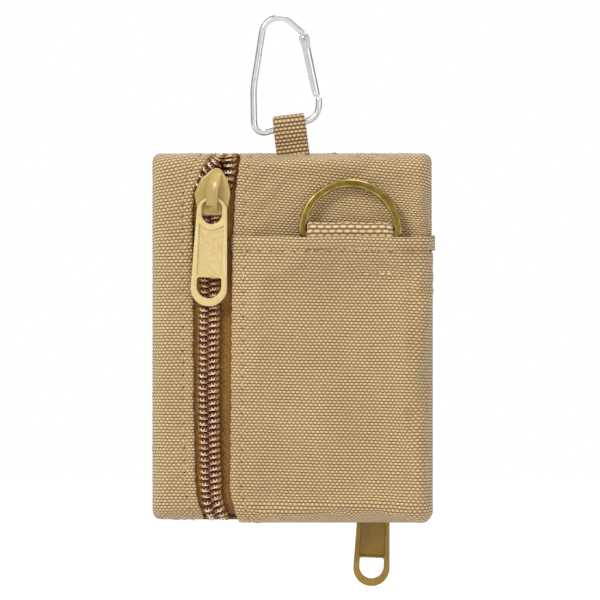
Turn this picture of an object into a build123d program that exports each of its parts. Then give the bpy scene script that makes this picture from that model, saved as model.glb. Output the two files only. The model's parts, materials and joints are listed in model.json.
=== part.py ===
from build123d import *
from math import atan2, cos, degrees, radians, sin, tan
import os

# Neck pouch wallet: a padded two-compartment fabric pouch that hangs by a webbing
# loop from a small snap hook. Millimetres, +Z up, front towards -Y.
# The origin is the inside of the hook's crown, where a ring or finger carries it.

# ---- driving dimensions -------------------------------------------------------------
# pouch body
body_width = 95.2
body_height = 124.8
body_depth = 18.0
corner_radius = 3.6
roll_radius = 3.4          # roundness of the turned edge all round
fabric = 0.9
body_left = -43.2          # the loop sits left of the middle, so the body hangs offset
drop_below_wire = 9.3      # hook wire centre down to the top edge of the body
divider_thickness = 0.5
binding_thickness = 0.4
binding_width = 4.0

# slip pocket on the front
pocket_fabric = 0.9
pocket_gap = 0.1           # pocket over the body at its side and bottom

# zips, the same front and back
zip_inset = 20.55          # chain centre from the side edge
window_width = 12.6        # between the two folded fabric edges
fold_width = 7.0           # fabric turned under beside each window edge
tape_thickness = 0.6
tape_edge_gap = 2.2        # between the two tapes, where the slider's post runs
chain_width = 7.0
chain_thickness = 1.8
tooth_pitch = 2.04
tooth_width = 0.84
tooth_reach = 0.9          # how far a tooth crosses the centre line
tooth_margin = 1.5         # first tooth above the rounded edge
parted_ahead = 1.8         # teeth are parted from this far above the shoulder line
zip_travel = 96.0

# slider
slider_nose = 8.8          # shoulder line to the nose tip
slider_tail = 7.3          # shoulder line to the tail
slider_half = 6.15         # half width at the shoulders
tail_half = 4.9
nose_round = 1.9
shoulder_round = 1.6
tail_round = 1.0
slider_edge = 0.5          # rounding of the plate's outer edge
plate = 1.3
plate_bite = 0.3           # how deep the crown's feet sink into the plate
lower_plate = 1.1
post_width = 1.6
post_foot = 2.5            # post, from the shoulder line up to the nose
post_past_crown = 0.9
pivot_behind_shoulder = 1.86
crown_width = 3.4
crown_thickness = 1.3
crown_front = 6.6          # where the crown meets the plate, from the shoulder line
crown_back = 5.8
crown_slope = 2.0          # rise of the crown's front leg, along the zip
crown_foot = 1.8           # length of its front foot
crown_round = 1.2          # rear bevel
crown_leg = 1.65           # thickness of its rear leg
front_slider_drop = 13.94  # shoulder line below the top edge of the body
back_slider_rise = 11.4    # shoulder line above the bottom edge of the body

# pull
pull_length = 37.2
pull_top_width = 10.4
pull_end_width = 12.4      # the end is a full half circle
pull_thickness = 1.6
pull_bar = 1.5             # round bar that runs through the slider's crown
pull_tilt = 2.3            # degrees, how far each pull hangs out of true
pull_shoulder = 3.2        # round corners beside the bar
eye_width = 6.8
eye_height = 8.6           # clear, below the bar
eye_round = 1.8
eye_bridge = 0.9           # between the eye and the recess
recess_depth = 0.45
recess_height = 17.0
recess_inset = 0.2         # recess narrower than the end hole, each side
recess_round = 1.2
end_hole_height = 6.6
hole_corner = 1.2
rim_width = 2.0

# ring and its keeper
ring_width = 35.2
ring_band = 2.8
ring_thickness = 2.0
ring_bevel = 0.6
ring_rise = 1.2            # centre of the ring's arc above its bar
ring_corner = 1.1
ring_from_centre = 19.7    # keeper's middle, right of the body's middle
bar_drop = 27.9            # bar below the top edge of the body
webbing = 1.25
keeper_width = 29.0
keeper_top = 4.3           # top of the keeper above the bar
keeper_tail = 14.2         # sewn end of the keeper below the bar
keeper_neck = 1.0          # where its two layers come together under the ring's bar
keeper_play = 0.25         # round the bar's sweep
keeper_front = 0.6         # front layer's reach at the bar's height
keeper_overlap = 0.35

# hang loop
loop_width = 11.2
loop_tilt = 7.1            # degrees
loop_top = 3.9             # top of the loop above the wire's centre
loop_side_gap = 0.35
loop_neck = 6.2            # its two legs part this far above the body
neck_start = 1.2           # they begin to close this far below that
neck_end = 3.6             # and lie together here
leg_overlap = 2.0
neck_step = 0.3
loop_sewn = 5.0            # leg length inside the seam
notch_height = 8.0

# snap hook
wire = 2.1
hook_crown_radius = 5.8
hook_heel_radius = 3.4
hook_toe_radius = 5.4
wire_slope = 15.6          # degrees, the bottom wire rises to the right
gate_lean = 12.0           # degrees from upright
gate_length = 20.4
gate_top = 2.7
gate_end = 2.4
knuckle = 3.5
rivet = 1.6
rivet_head = 2.3
rivet_head_height = 0.3
rivet_proud = 0.05
tab = 1.0                  # thickness of the hook's flat tab inside the gate's fork
tab_radius = 1.45
tab_neck_width = 1.8
tab_neck_length = 2.6
tongue = 0.9               # thickness of the nose's tongue
tongue_width = 1.0
tongue_length = 3.0
tongue_offset = 0.45
fork_length = 6.0
catch_depth = 1.6
catch_width = 2.2
catch_offset = 0.75
spring_bore = 1.56
spring_top = 3.0           # bore and spring, below the pivot
spring_bottom = 13.4
plunger = 1.4
plunger_length = 2.4
plunger_dome = 3.8         # centre of its domed tip, below the pivot
spring_pitch = 0.75
spring_length = 6.3
spring_radius = 0.5
spring_wire = 0.24

# clearances
touch = 0.05               # between layers that lie on each other
running = 0.03             # round a pin
slide_gap = 0.15           # slider against chain and tape
channel_gap = 0.25         # slider against the chain's sides
soft_gap = 0.3             # fabric beside something that moves
gate_end_gap = 0.25        # gate's end short of its full length
rivet_gap = 0.01           # rivet in the tab
chain_sink = 0.02          # chain set into its tape's surface
FAR = 400.0                # beyond the whole part


# ---- places worked out from them ----------------------------------------------------
# snap hook: corners of the wire's centre line, X and Z, from the pivot round to the nose
gate_pivot = (8.57, -6.73)
wire_at_loop = (3.54, -36.6)
slope = tan(radians(wire_slope))


def on_bottom_wire(x):
    return (x, wire_at_loop[1] + (x - wire_at_loop[0]) * slope)


gate_dir = (sin(radians(gate_lean)), -cos(radians(gate_lean)))
nose = (
    gate_pivot[0] + gate_dir[0] * gate_length + 0.75,
    gate_pivot[1] + gate_dir[1] * gate_length - 0.05,
)
arm_foot = (gate_pivot[0] - gate_dir[0] * 2.1 - 0.3, gate_pivot[1] - gate_dir[1] * 2.1)
hook_route = [
    arm_foot,
    (-4.15, 5.95),
    (-8.8, -23.8),
    on_bottom_wire(-8.5),
    on_bottom_wire(13.4),
    nose,
]
hook_radii = [hook_crown_radius, 30.0, hook_heel_radius, hook_toe_radius]

# pouch body
body_x = body_left + body_width / 2
body_right = body_left + body_width
body_top = wire_at_loop[1] - drop_below_wire
body_bottom = body_top - body_height
body_z = (body_top + body_bottom) / 2
face = body_depth / 2
rim = divider_thickness / 2 + binding_thickness + touch

# layers, as distances inwards from the outer face
fold_in = 2 * fabric
tape_in = fold_in + touch
tape_out = tape_in + tape_thickness
chain_in = tape_in - chain_sink
chain_out = chain_in - chain_thickness

# slider levels, as distances outwards from the middle of the body
chain_face = face - chain_out
plate_low = chain_face + slide_gap
plate_high = plate_low + plate
lower_high = face - tape_out - slide_gap
lower_low = lower_high - lower_plate
flange_low = face - tape_in + slide_gap
pull_back = plate_high + slide_gap
pull_out = pull_back + pull_thickness / 2
crown_low = pull_back + pull_thickness + slide_gap
crown_high = crown_low + crown_thickness

front_zip_x = body_left + zip_inset
back_zip_x = body_right - zip_inset
front_slider_z = body_top - front_slider_drop
back_slider_z = body_bottom + back_slider_rise

# ring
bar_sweep = ((ring_band / 2) ** 2 + (ring_thickness / 2 - ring_bevel) ** 2) ** 0.5
keeper_cavity = bar_sweep + keeper_play
keeper_round = keeper_cavity + webbing
bar_x = body_x + ring_from_centre
bar_z = body_top - bar_drop
bar_out = face + touch + keeper_round
ring_outer = ring_width / 2
ring_inner = ring_outer - ring_band
ring_lean = degrees(
    atan2(bar_out - face - ring_thickness / 2 - soft_gap, ring_rise + ring_outer)
)

# slip pocket
pocket_left = front_zip_x + window_width / 2
pocket_top = bar_z - keeper_round - keeper_neck - 2 * touch
pocket_inner = face + 2 * webbing + 2 * touch
pocket_face = pocket_inner + pocket_fabric


# ---- helpers ------------------------------------------------------------------------
def pillow(inset, depth):
    """Front half of the body's outer shape, moved inwards by inset, to a given depth."""
    outline = RectangleRounded(
        body_width - 2 * inset, body_height - 2 * inset, corner_radius - inset
    )
    block = extrude(Plane.XZ * outline, amount=depth)
    rim_edges = block.faces().sort_by(Axis.Y)[0].edges()
    return Pos(body_x, 0, body_z) * fillet(rim_edges, radius=roll_radius - inset)


def layer(inset):
    return pillow(inset, face - inset)


def slab(x_low, x_high, out_low=0.0, out_high=FAR, z_low=-FAR, z_high=FAR):
    """A block in front of the body's middle, between two distances outwards."""
    size = (x_high - x_low, out_high - out_low, z_high - z_low)
    centre = ((x_low + x_high) / 2, -(out_low + out_high) / 2, (z_low + z_high) / 2)
    return Pos(*centre) * Box(*size)


def turned(shape):
    """Half a turn about the body's upright middle line, from front to back."""
    return Pos(body_x, 0, 0) * Rot(0, 0, 180) * Pos(-body_x, 0, 0) * shape


def side_profile(points, width):
    """A solid whose outline lies in the Y-Z plane, points as (outwards, z)."""
    outline = Plane.YZ * make_face(Polyline(*[(-a, b) for a, b in points], close=True))
    return extrude(outline, amount=width / 2, both=True)


# ---- fabric body --------------------------------------------------------------------
def fabric_panel(x_low, x_high, window_edge):
    """Fabric shell between two X places, turned under along its edge at the zip."""
    direction = 1 if window_edge == x_low else -1
    far = window_edge + direction * fold_width
    fold_zone = slab(min(window_edge, far), max(window_edge, far), rim)
    shell = layer(0) & slab(x_low, x_high, 0)
    shell -= layer(fabric) - fold_zone
    return shell - (layer(fold_in) & slab(min(window_edge, far) - 1, max(window_edge, far), rim))


def strip(zip_x):
    edge = zip_x - window_width / 2
    return fabric_panel(body_left - 1, edge, edge)


def panel(zip_x):
    edge = zip_x + window_width / 2
    return fabric_panel(edge, body_right + 1, edge)


def loop_tail(grow):
    """The loop's two sewn legs where they enter the top seam."""
    tail = Box(loop_width + 2 * grow, 2 * webbing + 2 * grow, notch_height + 2 * grow)
    sewn_end = -drop_below_wire - loop_sewn
    return loop_place() * Pos(0, 0, sewn_end + notch_height / 2) * tail


def slip_pocket():
    outer = pillow(-pocket_gap - pocket_fabric, pocket_face)
    inner = pillow(-pocket_gap, pocket_inner)
    zone = slab(pocket_left, FAR, 0, FAR, -FAR, pocket_top)
    shell = (outer & zone) - inner
    wall = slab(pocket_left, pocket_left + pocket_fabric, 0, FAR, -FAR, pocket_top)
    left_wall = (outer & wall) - pillow(-touch, face + touch)
    return shell + left_wall


def divider():
    edge = fabric + touch
    sheet = extrude(
        Plane.XZ
        * RectangleRounded(body_width - 2 * edge, body_height - 2 * edge, corner_radius - edge),
        amount=divider_thickness / 2,
        both=True,
    )
    return Pos(body_x, 0, body_z) * sheet


def seam_binding():
    """Narrow tape folded round the divider's edge and the panels' raw edges."""
    edge = fabric + touch
    outer = RectangleRounded(body_width - 2 * edge, body_height - 2 * edge, corner_radius - edge)
    hole = Rectangle(
        body_width - 2 * (edge + binding_width), body_height - 2 * (edge + binding_width)
    )
    half = divider_thickness / 2 + binding_thickness
    front = Pos(0, -divider_thickness / 2, 0) * extrude(
        Plane.XZ * (outer - hole), amount=half - divider_thickness / 2
    )
    back = Pos(0, half, 0) * extrude(
        Plane.XZ * (outer - hole), amount=half - divider_thickness / 2
    )
    return Pos(body_x, 0, body_z) * Compound([*front.solids(), *back.solids()])


# ---- zips ---------------------------------------------------------------------------
def zip_tape(zip_x, side):
    near = zip_x + side * tape_edge_gap / 2
    far = zip_x + side * (window_width / 2 + fold_width - 0.5)
    return (layer(tape_in) - layer(tape_out)) & slab(min(near, far), max(near, far), rim)


def zip_coil(zip_x, side, parted_above, parted_below):
    """One row of the chain: a rail with teeth that cross to the other row where closed."""
    near = zip_x + side * tape_edge_gap / 2
    far = zip_x + side * chain_width / 2
    rail = (layer(chain_out) - layer(chain_in)) & slab(min(near, far), max(near, far), rim)
    reach = zip_x - side * tooth_reach
    first = body_bottom + roll_radius + tooth_margin
    count = int((body_height - 2 * (roll_radius + tooth_margin)) / tooth_pitch)
    row = rail
    for i in range(count):
        z = first + (i + (0.5 if side > 0 else 0.0)) * tooth_pitch
        if parted_below < z < parted_above:
            row += slab(
                min(near, reach),
                max(near, reach),
                face - chain_in,
                chain_face,
                z - tooth_width / 2,
                z + tooth_width / 2,
            )
    return row


def slider_outline():
    """Teardrop seen from the front: nose up, shoulders on the middle line."""
    rounds = [Pos(0, slider_nose - nose_round) * Circle(nose_round)]
    for side in (-1, 1):
        rounds += [
            Pos(side * (slider_half - shoulder_round), 0) * Circle(shoulder_round),
            Pos(side * (tail_half - tail_round), tail_round - slider_tail) * Circle(tail_round),
        ]
    return make_hull([edge for r in rounds for edge in r.edges()])


def level(outline, low, high):
    """The outline as a plate between two distances outwards."""
    return Pos(0, -low, 0) * extrude(Plane.XZ * outline, amount=high - low)


def slider():
    """Body, post and crown in one casting. Nose up, middle of the pouch at Y = 0."""
    outline = slider_outline()
    top = level(outline, plate_low, plate_high)
    top = fillet(top.faces().sort_by(Axis.Y)[0].edges(), radius=slider_edge)
    low = level(outline, lower_low, lower_high)
    channel = slab(-chain_width / 2 - channel_gap, chain_width / 2 + channel_gap)
    sides = level(outline, flange_low, plate_low) - channel
    post = slab(
        -post_width / 2,
        post_width / 2,
        lower_low,
        plate_high,
        post_foot,
        crown_front + post_past_crown,
    )
    foot = plate_low + plate_bite
    mid = (crown_low + crown_high) / 2
    bend = crown_front - crown_foot
    arch = [
        (foot, -crown_back),
        (mid, -crown_back),
        (crown_high, crown_round - crown_back),
        (crown_high, bend - crown_foot + neck_step),
        (mid, bend + neck_step),
        (foot, crown_front),
        (foot, bend),
        (crown_low, bend - crown_foot),
        (crown_low, crown_leg - crown_back),
        (foot, crown_leg - crown_back),
    ]
    return top + low + sides + post + side_profile(arch, crown_width)


def pull():
    """Long cast pull, hanging from its round bar, which lies on the local X axis."""
    half = pull_thickness / 2
    end_radius = pull_end_width / 2
    end = half - pull_length
    rounds = [Pos(0, end + end_radius) * Circle(end_radius)]
    for side in (-1, 1):
        shoulder_x = side * (pull_top_width / 2 - pull_shoulder)
        rounds.append(Pos(shoulder_x, half - pull_shoulder) * Circle(pull_shoulder))
    outline = make_hull([edge for r in rounds for edge in r.edges()])
    # the eye is cut from the bar's middle line down, so that only the round bar turns in the crown
    clear = eye_height + pull_bar / 2
    eye = Pos(0, -clear / 2) * RectangleRounded(eye_width, clear, eye_round)
    eye += Pos(0, -eye_round / 2) * Rectangle(eye_width, eye_round)
    recess_top = -clear - eye_bridge
    recess_low = recess_top - recess_height
    inner = pull_end_width - 2 * rim_width
    recess_width = inner - 2 * recess_inset
    recess_mid = (recess_top + recess_low) / 2
    recess = Pos(0, recess_mid) * RectangleRounded(recess_width, recess_height, recess_round)
    hole_low = recess_low - end_hole_height
    hole = Pos(0, hole_low + inner / 2) * Circle(inner / 2)
    hole &= Pos(0, recess_low - end_hole_height / 2) * Rectangle(inner, end_hole_height)
    square_low = hole_low + inner / 2
    hole += Pos(0, (recess_low + square_low) / 2) * Rectangle(inner, recess_low - square_low)
    hole = fillet(hole.vertices().group_by(Axis.Y)[-1], radius=hole_corner)
    body = extrude(Plane.XZ * (outline - eye - hole), amount=half, both=True)
    body -= Pos(0, recess_depth - half, 0) * extrude(Plane.XZ * recess, amount=pull_thickness)
    # the top end is rounded about the bar so that it turns under the crown
    body &= slab(-FAR, FAR, -FAR, FAR, -FAR, 0) + Rot(0, 90, 0) * Cylinder(half, FAR)
    bar = Rot(0, 90, 0) * Cylinder(pull_bar / 2, eye_width + 2 * recess_inset)
    return body + bar


def front_place(z):
    return Pos(front_zip_x, 0, z)


def back_place(z):
    return Pos(back_zip_x, 0, z) * Rot(180, 0, 0)


# ---- ring, keeper and loop ----------------------------------------------------------
def stadium(radius, low, high, width):
    """Round-ended block lying along X, between two centre heights."""
    ends = Pos(0, 0, low) * Rot(0, 90, 0) * Cylinder(radius, width)
    ends += Pos(0, 0, high) * Rot(0, 90, 0) * Cylinder(radius, width)
    return ends + Pos(0, 0, (low + high) / 2) * Box(width, 2 * radius, high - low)


def d_ring():
    def outline(radius, low):
        return Pos(0, ring_rise) * Circle(radius) & Pos(0, (low + FAR) / 2) * Rectangle(FAR, FAR - low)

    def squared(radius, low):
        box = Pos(0, (low + ring_rise) / 2) * Rectangle(2 * radius, ring_rise - low)
        return outline(radius, ring_rise) + box

    outer = squared(ring_outer, -ring_band / 2)
    outer = fillet(outer.vertices().group_by(Axis.Y)[0], radius=ring_corner)
    body = extrude(
        Plane.XZ * (outer - squared(ring_inner, ring_band / 2)), amount=ring_thickness / 2, both=True
    )
    faces = body.faces().sort_by(Axis.Y)
    body = chamfer([*faces[0].edges(), *faces[-1].edges()], length=ring_bevel)
    return Pos(bar_x, -bar_out, bar_z) * Rot(-ring_lean, 0, 0) * body


def d_ring_keeper():
    """Webbing folded over the ring's bar, both layers sewn down behind the pocket."""
    high = keeper_top - keeper_round
    body = stadium(keeper_round, 0, high, keeper_width)
    back = keeper_round
    tail = [
        (-back, 0),
        (-back, -keeper_tail),
        (2 * webbing - back, -keeper_tail),
        (2 * webbing - back, -keeper_round - keeper_neck),
        (keeper_front, keeper_overlap - keeper_round),
        (keeper_front, 0),
    ]
    body += side_profile(tail, keeper_width)
    body -= stadium(keeper_cavity, 0, high, 2 * keeper_width)
    return Pos(bar_x, -bar_out, bar_z) * body


def loop_place():
    return Pos(wire_at_loop[0], 0, wire_at_loop[1]) * Rot(0, -loop_tilt, 0)


def hang_loop():
    cavity = wire / 2 + loop_side_gap
    round_over = cavity + webbing
    high = loop_top - round_over
    low = loop_neck - drop_below_wire
    body = stadium(round_over, low, high, loop_width)
    taper = [
        (round_over - neck_step, low - neck_start),
        (webbing, low - neck_end),
        (-webbing, low - neck_end),
        (neck_step - round_over, low - neck_start),
    ]
    body += side_profile(taper, loop_width)
    body -= stadium(cavity, low, high, 2 * loop_width)
    legs_top = low - leg_overlap
    legs_end = -drop_below_wire - loop_sewn
    legs = Box(loop_width, 2 * webbing, legs_top - legs_end)
    return loop_place() * (body + Pos(0, 0, (legs_top + legs_end) / 2) * legs)


# ---- snap hook ----------------------------------------------------------------------
def gate_place():
    return Pos(gate_pivot[0], 0, gate_pivot[1]) * Rot(0, -gate_lean, 0)


def carabiner_frame():
    route = FilletPolyline(*[(x, 0, z) for x, z in hook_route], radius=hook_radii)
    start = Plane(origin=route @ 0, z_dir=route % 0)
    body = sweep(start * Circle(wire / 2), path=route)
    # flat tab that reaches into the gate's fork
    eye_tab = Rot(90, 0, 0) * Cylinder(tab_radius, tab)
    neck = Pos(0, 0, tab_neck_length / 2) * Box(tab_neck_width, tab, tab_neck_length)
    # tongue on the nose that the closed gate drops over
    tongue_mid = -gate_length - tongue_length / 10
    tongue_bar = Pos(tongue_offset, 0, tongue_mid) * Box(tongue_width, tongue, tongue_length)
    body += gate_place() * (eye_tab + neck) + gate_place() * tongue_bar
    return body - gate_place() * Rot(90, 0, 0) * Cylinder(rivet / 2 + rivet_gap, FAR)


def gate_rivet():
    half = gate_top / 2 + rivet_proud
    shank = Rot(90, 0, 0) * Cylinder(rivet / 2, 2 * half)
    head = Rot(90, 0, 0) * Cylinder(rivet_head / 2, rivet_head_height)
    out = half + rivet_head_height / 2
    return gate_place() * (shank + Pos(0, -out, 0) * head + Pos(0, out, 0) * head)


def gate():
    length = gate_length - gate_end_gap
    body = Pos(0, 0, -length / 2) * Cone(gate_end / 2, gate_top / 2, length)
    body += Rot(90, 0, 0) * Cylinder(knuckle / 2, gate_top)
    fork = Box(2 * knuckle, tab + 2 * touch, fork_length)
    catch = Pos(catch_offset, 0, catch_depth / 2 - length) * Box(
        catch_width, tongue + 2 * touch, catch_depth + 2 * touch
    )
    bore_length = spring_bottom - spring_top
    bore = Pos(0, 0, -spring_top - bore_length / 2) * Cylinder(spring_bore / 2, bore_length)
    pin_hole = Rot(90, 0, 0) * Cylinder(rivet / 2 + running, FAR)
    return gate_place() * (body - fork - catch - bore - pin_hole)


def gate_plunger():
    """Small domed pin that the spring holds against the hook's tab."""
    pin = Pos(0, 0, -plunger_dome - plunger_length / 2) * Cylinder(plunger / 2, plunger_length)
    return gate_place() * (pin + Pos(0, 0, -plunger_dome) * Sphere(plunger / 2))


def gate_spring():
    path = Helix(spring_pitch, spring_length, spring_radius)
    section = Plane(origin=path @ 0, z_dir=path % 0) * Circle(spring_wire / 2)
    coil = sweep(section, path=path, is_frenet=True)
    return gate_place() * Pos(0, 0, spring_wire / 2 + touch - spring_bottom) * coil


# ---- write --------------------------------------------------------------------------
def build():
    top_notch = loop_tail(touch)
    front_parted = front_slider_z + parted_ahead
    back_parted = back_slider_z - parted_ahead
    nodes = {
        "carabiner_frame": carabiner_frame(),
        "gate_rivet": gate_rivet(),
        "gate": gate(),
        "gate_plunger": gate_plunger(),
        "gate_spring": gate_spring(),
        "hang_loop": hang_loop(),
        "front_strip": strip(front_zip_x),
        "front_panel": panel(front_zip_x) - top_notch,
        "slip_pocket": slip_pocket(),
        "back_strip": turned(strip(front_zip_x)),
        "back_panel": turned(panel(front_zip_x)) - top_notch,
        "divider": divider() - top_notch,
        "seam_binding": seam_binding() - top_notch,
        "d_ring_keeper": d_ring_keeper(),
        "d_ring": d_ring(),
        "front_slider": front_place(front_slider_z) * slider(),
        "back_slider": back_place(back_slider_z) * slider(),
    }
    pull_z = front_slider_z - pivot_behind_shoulder
    nodes["front_pull"] = Pos(front_zip_x, -pull_out, pull_z) * Rot(0, pull_tilt, 0) * pull()
    pull_z = back_slider_z + pivot_behind_shoulder
    back_turn = Rot(0, pull_tilt, 0) * Rot(0, 0, 180)
    nodes["back_pull"] = Pos(back_zip_x, pull_out, pull_z) * back_turn * pull()
    for name, side in (("left", -1), ("right", 1)):
        nodes[f"front_zip_tape_{name}"] = zip_tape(front_zip_x, side)
        nodes[f"back_zip_tape_{name}"] = turned(zip_tape(front_zip_x, -side))
        nodes[f"front_zip_coil_{name}"] = zip_coil(front_zip_x, side, front_parted, -FAR)
        nodes[f"back_zip_coil_{name}"] = turned(zip_coil(front_zip_x, -side, FAR, back_parted))
    return nodes


os.makedirs("parts", exist_ok=True)
for name, shape in build().items():
    solids = shape.solids()
    export_step(solids[0] if len(solids) == 1 else Compound(solids), f"parts/{name}.step")
    print(name, len(solids), round(sum(s.volume for s in solids), 2))
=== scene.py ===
# %% [markdown]
# # Neck pouch wallet
# A flat two-compartment pouch of coarse khaki canvas. It hangs by a short webbing loop from a
# small snap hook. Each face has one long coil zip beside its edge, and the front also has a
# slip pocket with a ring above it. The moving pieces keep the places and sizes of the packed
# model: the cloth, thread and cast metal are modelled round them here.

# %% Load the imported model
import json
import math

import bpy
import numpy as np
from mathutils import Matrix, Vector, noise


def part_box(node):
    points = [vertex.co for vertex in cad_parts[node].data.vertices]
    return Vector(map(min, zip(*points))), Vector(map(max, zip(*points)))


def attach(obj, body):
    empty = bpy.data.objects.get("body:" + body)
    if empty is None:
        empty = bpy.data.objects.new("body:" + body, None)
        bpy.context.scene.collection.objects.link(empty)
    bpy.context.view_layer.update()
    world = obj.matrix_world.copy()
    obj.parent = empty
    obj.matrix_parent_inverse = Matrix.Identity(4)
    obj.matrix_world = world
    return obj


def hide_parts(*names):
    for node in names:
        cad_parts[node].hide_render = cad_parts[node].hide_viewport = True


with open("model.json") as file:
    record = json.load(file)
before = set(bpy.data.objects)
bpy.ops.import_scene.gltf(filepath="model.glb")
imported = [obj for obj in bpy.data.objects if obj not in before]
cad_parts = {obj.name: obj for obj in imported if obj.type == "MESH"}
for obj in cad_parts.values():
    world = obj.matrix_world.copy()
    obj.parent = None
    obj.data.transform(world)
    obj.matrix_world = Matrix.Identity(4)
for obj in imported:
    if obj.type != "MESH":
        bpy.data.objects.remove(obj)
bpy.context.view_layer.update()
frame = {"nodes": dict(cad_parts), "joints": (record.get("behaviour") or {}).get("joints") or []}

# %% [markdown]
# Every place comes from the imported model: the boxes of its nodes and the points of its joints.
# Working in millimetres keeps the numbers readable, and each mesh is written in metres.

# %% Places, in millimetres
MM = 0.001


def box_mm(node):
    low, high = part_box(node)
    return np.array(low) / MM, np.array(high) / MM


strip_low, strip_high = box_mm("front_strip")
panel_low, panel_high = box_mm("front_panel")
slider_high = box_mm("front_slider")[1]
left, right = strip_low[0], panel_high[0]
bottom, top = strip_low[2], strip_high[2]
face = -strip_low[1]
middle = np.array([(left + right) / 2, 0.0, (bottom + top) / 2])
zip_x = (strip_high[0] + panel_low[0]) / 2
joints = {j["name"]: j for j in frame["joints"]}
point = {n: np.array(j["pos_m"]) / MM for n, j in joints.items() if "pos_m" in j}
print("pouch", round(right - left, 1), "x", round(top - bottom, 1), "mm, zip at", round(zip_x, 2))

# %% [markdown]
# Most pieces here are either a sheet, which is a grid of points, or a rod, which is a section
# carried along a line. Two small makers cover both, and they write the cloth's own flat size
# into a UV map, so a weave follows the cloth round every fold.

# %% Makers of sheets and rods
def new_piece(name, points, faces, material, uv=None, smooth=True, sharp=None):
    mesh = bpy.data.meshes.new(name)
    mesh.from_pydata([tuple(p) for p in np.asarray(points, float) * MM], [], faces)
    if uv is not None:
        layer = mesh.uv_layers.new(name="cloth")
        loops = np.empty(len(mesh.loops), np.int32)
        mesh.loops.foreach_get("vertex_index", loops)
        layer.data.foreach_set("uv", (np.asarray(uv, float)[loops] * MM).astype(np.float32).ravel())
    mesh.update()
    if smooth:
        mesh.polygons.foreach_set("use_smooth", [True] * len(mesh.polygons))
    if sharp is not None:
        mesh.set_sharp_from_angle(angle=math.radians(sharp))
    mesh.materials.append(material)
    piece = bpy.data.objects.new(name, mesh)
    bpy.context.scene.collection.objects.link(piece)
    return piece


def sheet_faces(rows, columns, flip=False, closed_rows=False, closed_columns=False, first=0):
    faces = []
    for i in range(rows if closed_rows else rows - 1):
        for j in range(columns if closed_columns else columns - 1):
            a, b = first + i * columns + j, first + i * columns + (j + 1) % columns
            c, d = (first + ((i + 1) % rows) * columns + (j + 1) % columns,
                    first + ((i + 1) % rows) * columns + j)
            faces.append((a, d, c, b) if flip else (a, b, c, d))
    return faces


def joined(parts):
    """Several (points, faces) as one."""
    points, faces = [], []
    for p, f in parts:
        faces += [tuple(i + len(points) for i in face_) for face_ in f]
        points += [tuple(x) for x in p]
    return np.array(points), faces


def outward(points, faces):
    """The same faces, all turned so that the closed shape has a positive volume."""
    p = np.asarray(points, float)
    volume = sum(np.dot(p[f[0]], np.cross(p[f[k]], p[f[k + 1]])) for f in faces for k in range(1, len(f) - 1))
    return faces if volume > 0 else [tuple(reversed(f)) for f in faces]


def rod(line, section, normal=(0, -1, 0), closed=False, turn=None):
    """A section, points of (across, out), carried along a line. turn gives one out direction per point."""
    line = np.asarray(line, float)
    n = len(line)
    ahead = np.roll(line, -1, 0) - np.roll(line, 1, 0)
    if not closed:
        ahead[0], ahead[-1] = line[1] - line[0], line[-1] - line[-2]
    ahead /= np.linalg.norm(ahead, axis=1)[:, None]
    out = np.tile(np.array(normal, float), (n, 1)) if turn is None else np.asarray(turn, float)
    out = out - (out * ahead).sum(1)[:, None] * ahead
    out /= np.linalg.norm(out, axis=1)[:, None]
    across = np.cross(ahead, out)
    sections = np.asarray(section, float)
    if sections.ndim == 2:
        sections = np.tile(sections, (n, 1, 1))
    points = (line[:, None] + across[:, None] * sections[..., :1] + out[:,
                                                                        None]
              * sections[..., 1:]).reshape(-1, 3)
    k = sections.shape[1]
    faces = sheet_faces(n, k, closed_rows=closed, closed_columns=True)
    if not closed:
        faces += [tuple(range(k - 1, -1, -1)), tuple(range((n - 1) * k, n * k))]
    return points, outward(points, faces)


def capped_faces(rings, around):
    """The faces of a stack of rings, with both ends closed and facing outwards."""
    ends = [tuple(range(around))[::-1], tuple(range((rings - 1) * around, rings * around))]
    return sheet_faces(rings, around, closed_columns=True) + ends


def ring_section(radius, sides=16):
    a = np.arange(sides) * 2 * np.pi / sides
    return np.stack([radius * np.cos(a), radius * np.sin(a)], 1)


def even(line, step, closed=False):
    """The same line with points an even distance apart."""
    line = np.asarray(line, float)
    if closed:
        line = np.vstack([line, line[:1]])
    s = np.concatenate([[0], np.cumsum(np.linalg.norm(np.diff(line, axis=0), axis=1))])
    count = max(2, int(round(s[-1] / step)) + 1)
    at = np.linspace(0, s[-1], count)[: -1 if closed else None]
    return np.stack([np.interp(at, s, line[:, k]) for k in range(line.shape[1])], 1)


def hull_of(circles, step=0.3):
    """The rubber-band outline round some circles of (x, z, radius), with its outward directions."""
    a = np.linspace(0, 2 * np.pi, 721)[:-1]
    n = np.stack([np.cos(a), np.sin(a)], 1)
    c = np.array(circles, float)
    best = (n @ c[:, :2].T + c[:, 2]).argmax(1)
    both = even(np.hstack([c[best, :2] + c[best, 2:] * n, n * 3.0]), step, closed=True)
    directions = both[:, 2:] / np.linalg.norm(both[:, 2:], axis=1)[:, None]
    return both[:, :2], directions


def wander(x, z, size, seed=0.0):
    """Smooth noise from -1 to 1 over arrays of places, with features about size millimetres wide."""
    flat = zip(np.ravel(x) / size, np.ravel(z) / size)
    return np.array([noise.noise(Vector((a, b, seed))) for a, b in flat]).reshape(np.shape(x))

# %% [markdown]
# A finish is a small tree of shader nodes. This helper lets each one read like a recipe: it
# makes a Principled shader, and turns plain sums of sockets and numbers into Math nodes.

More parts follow.
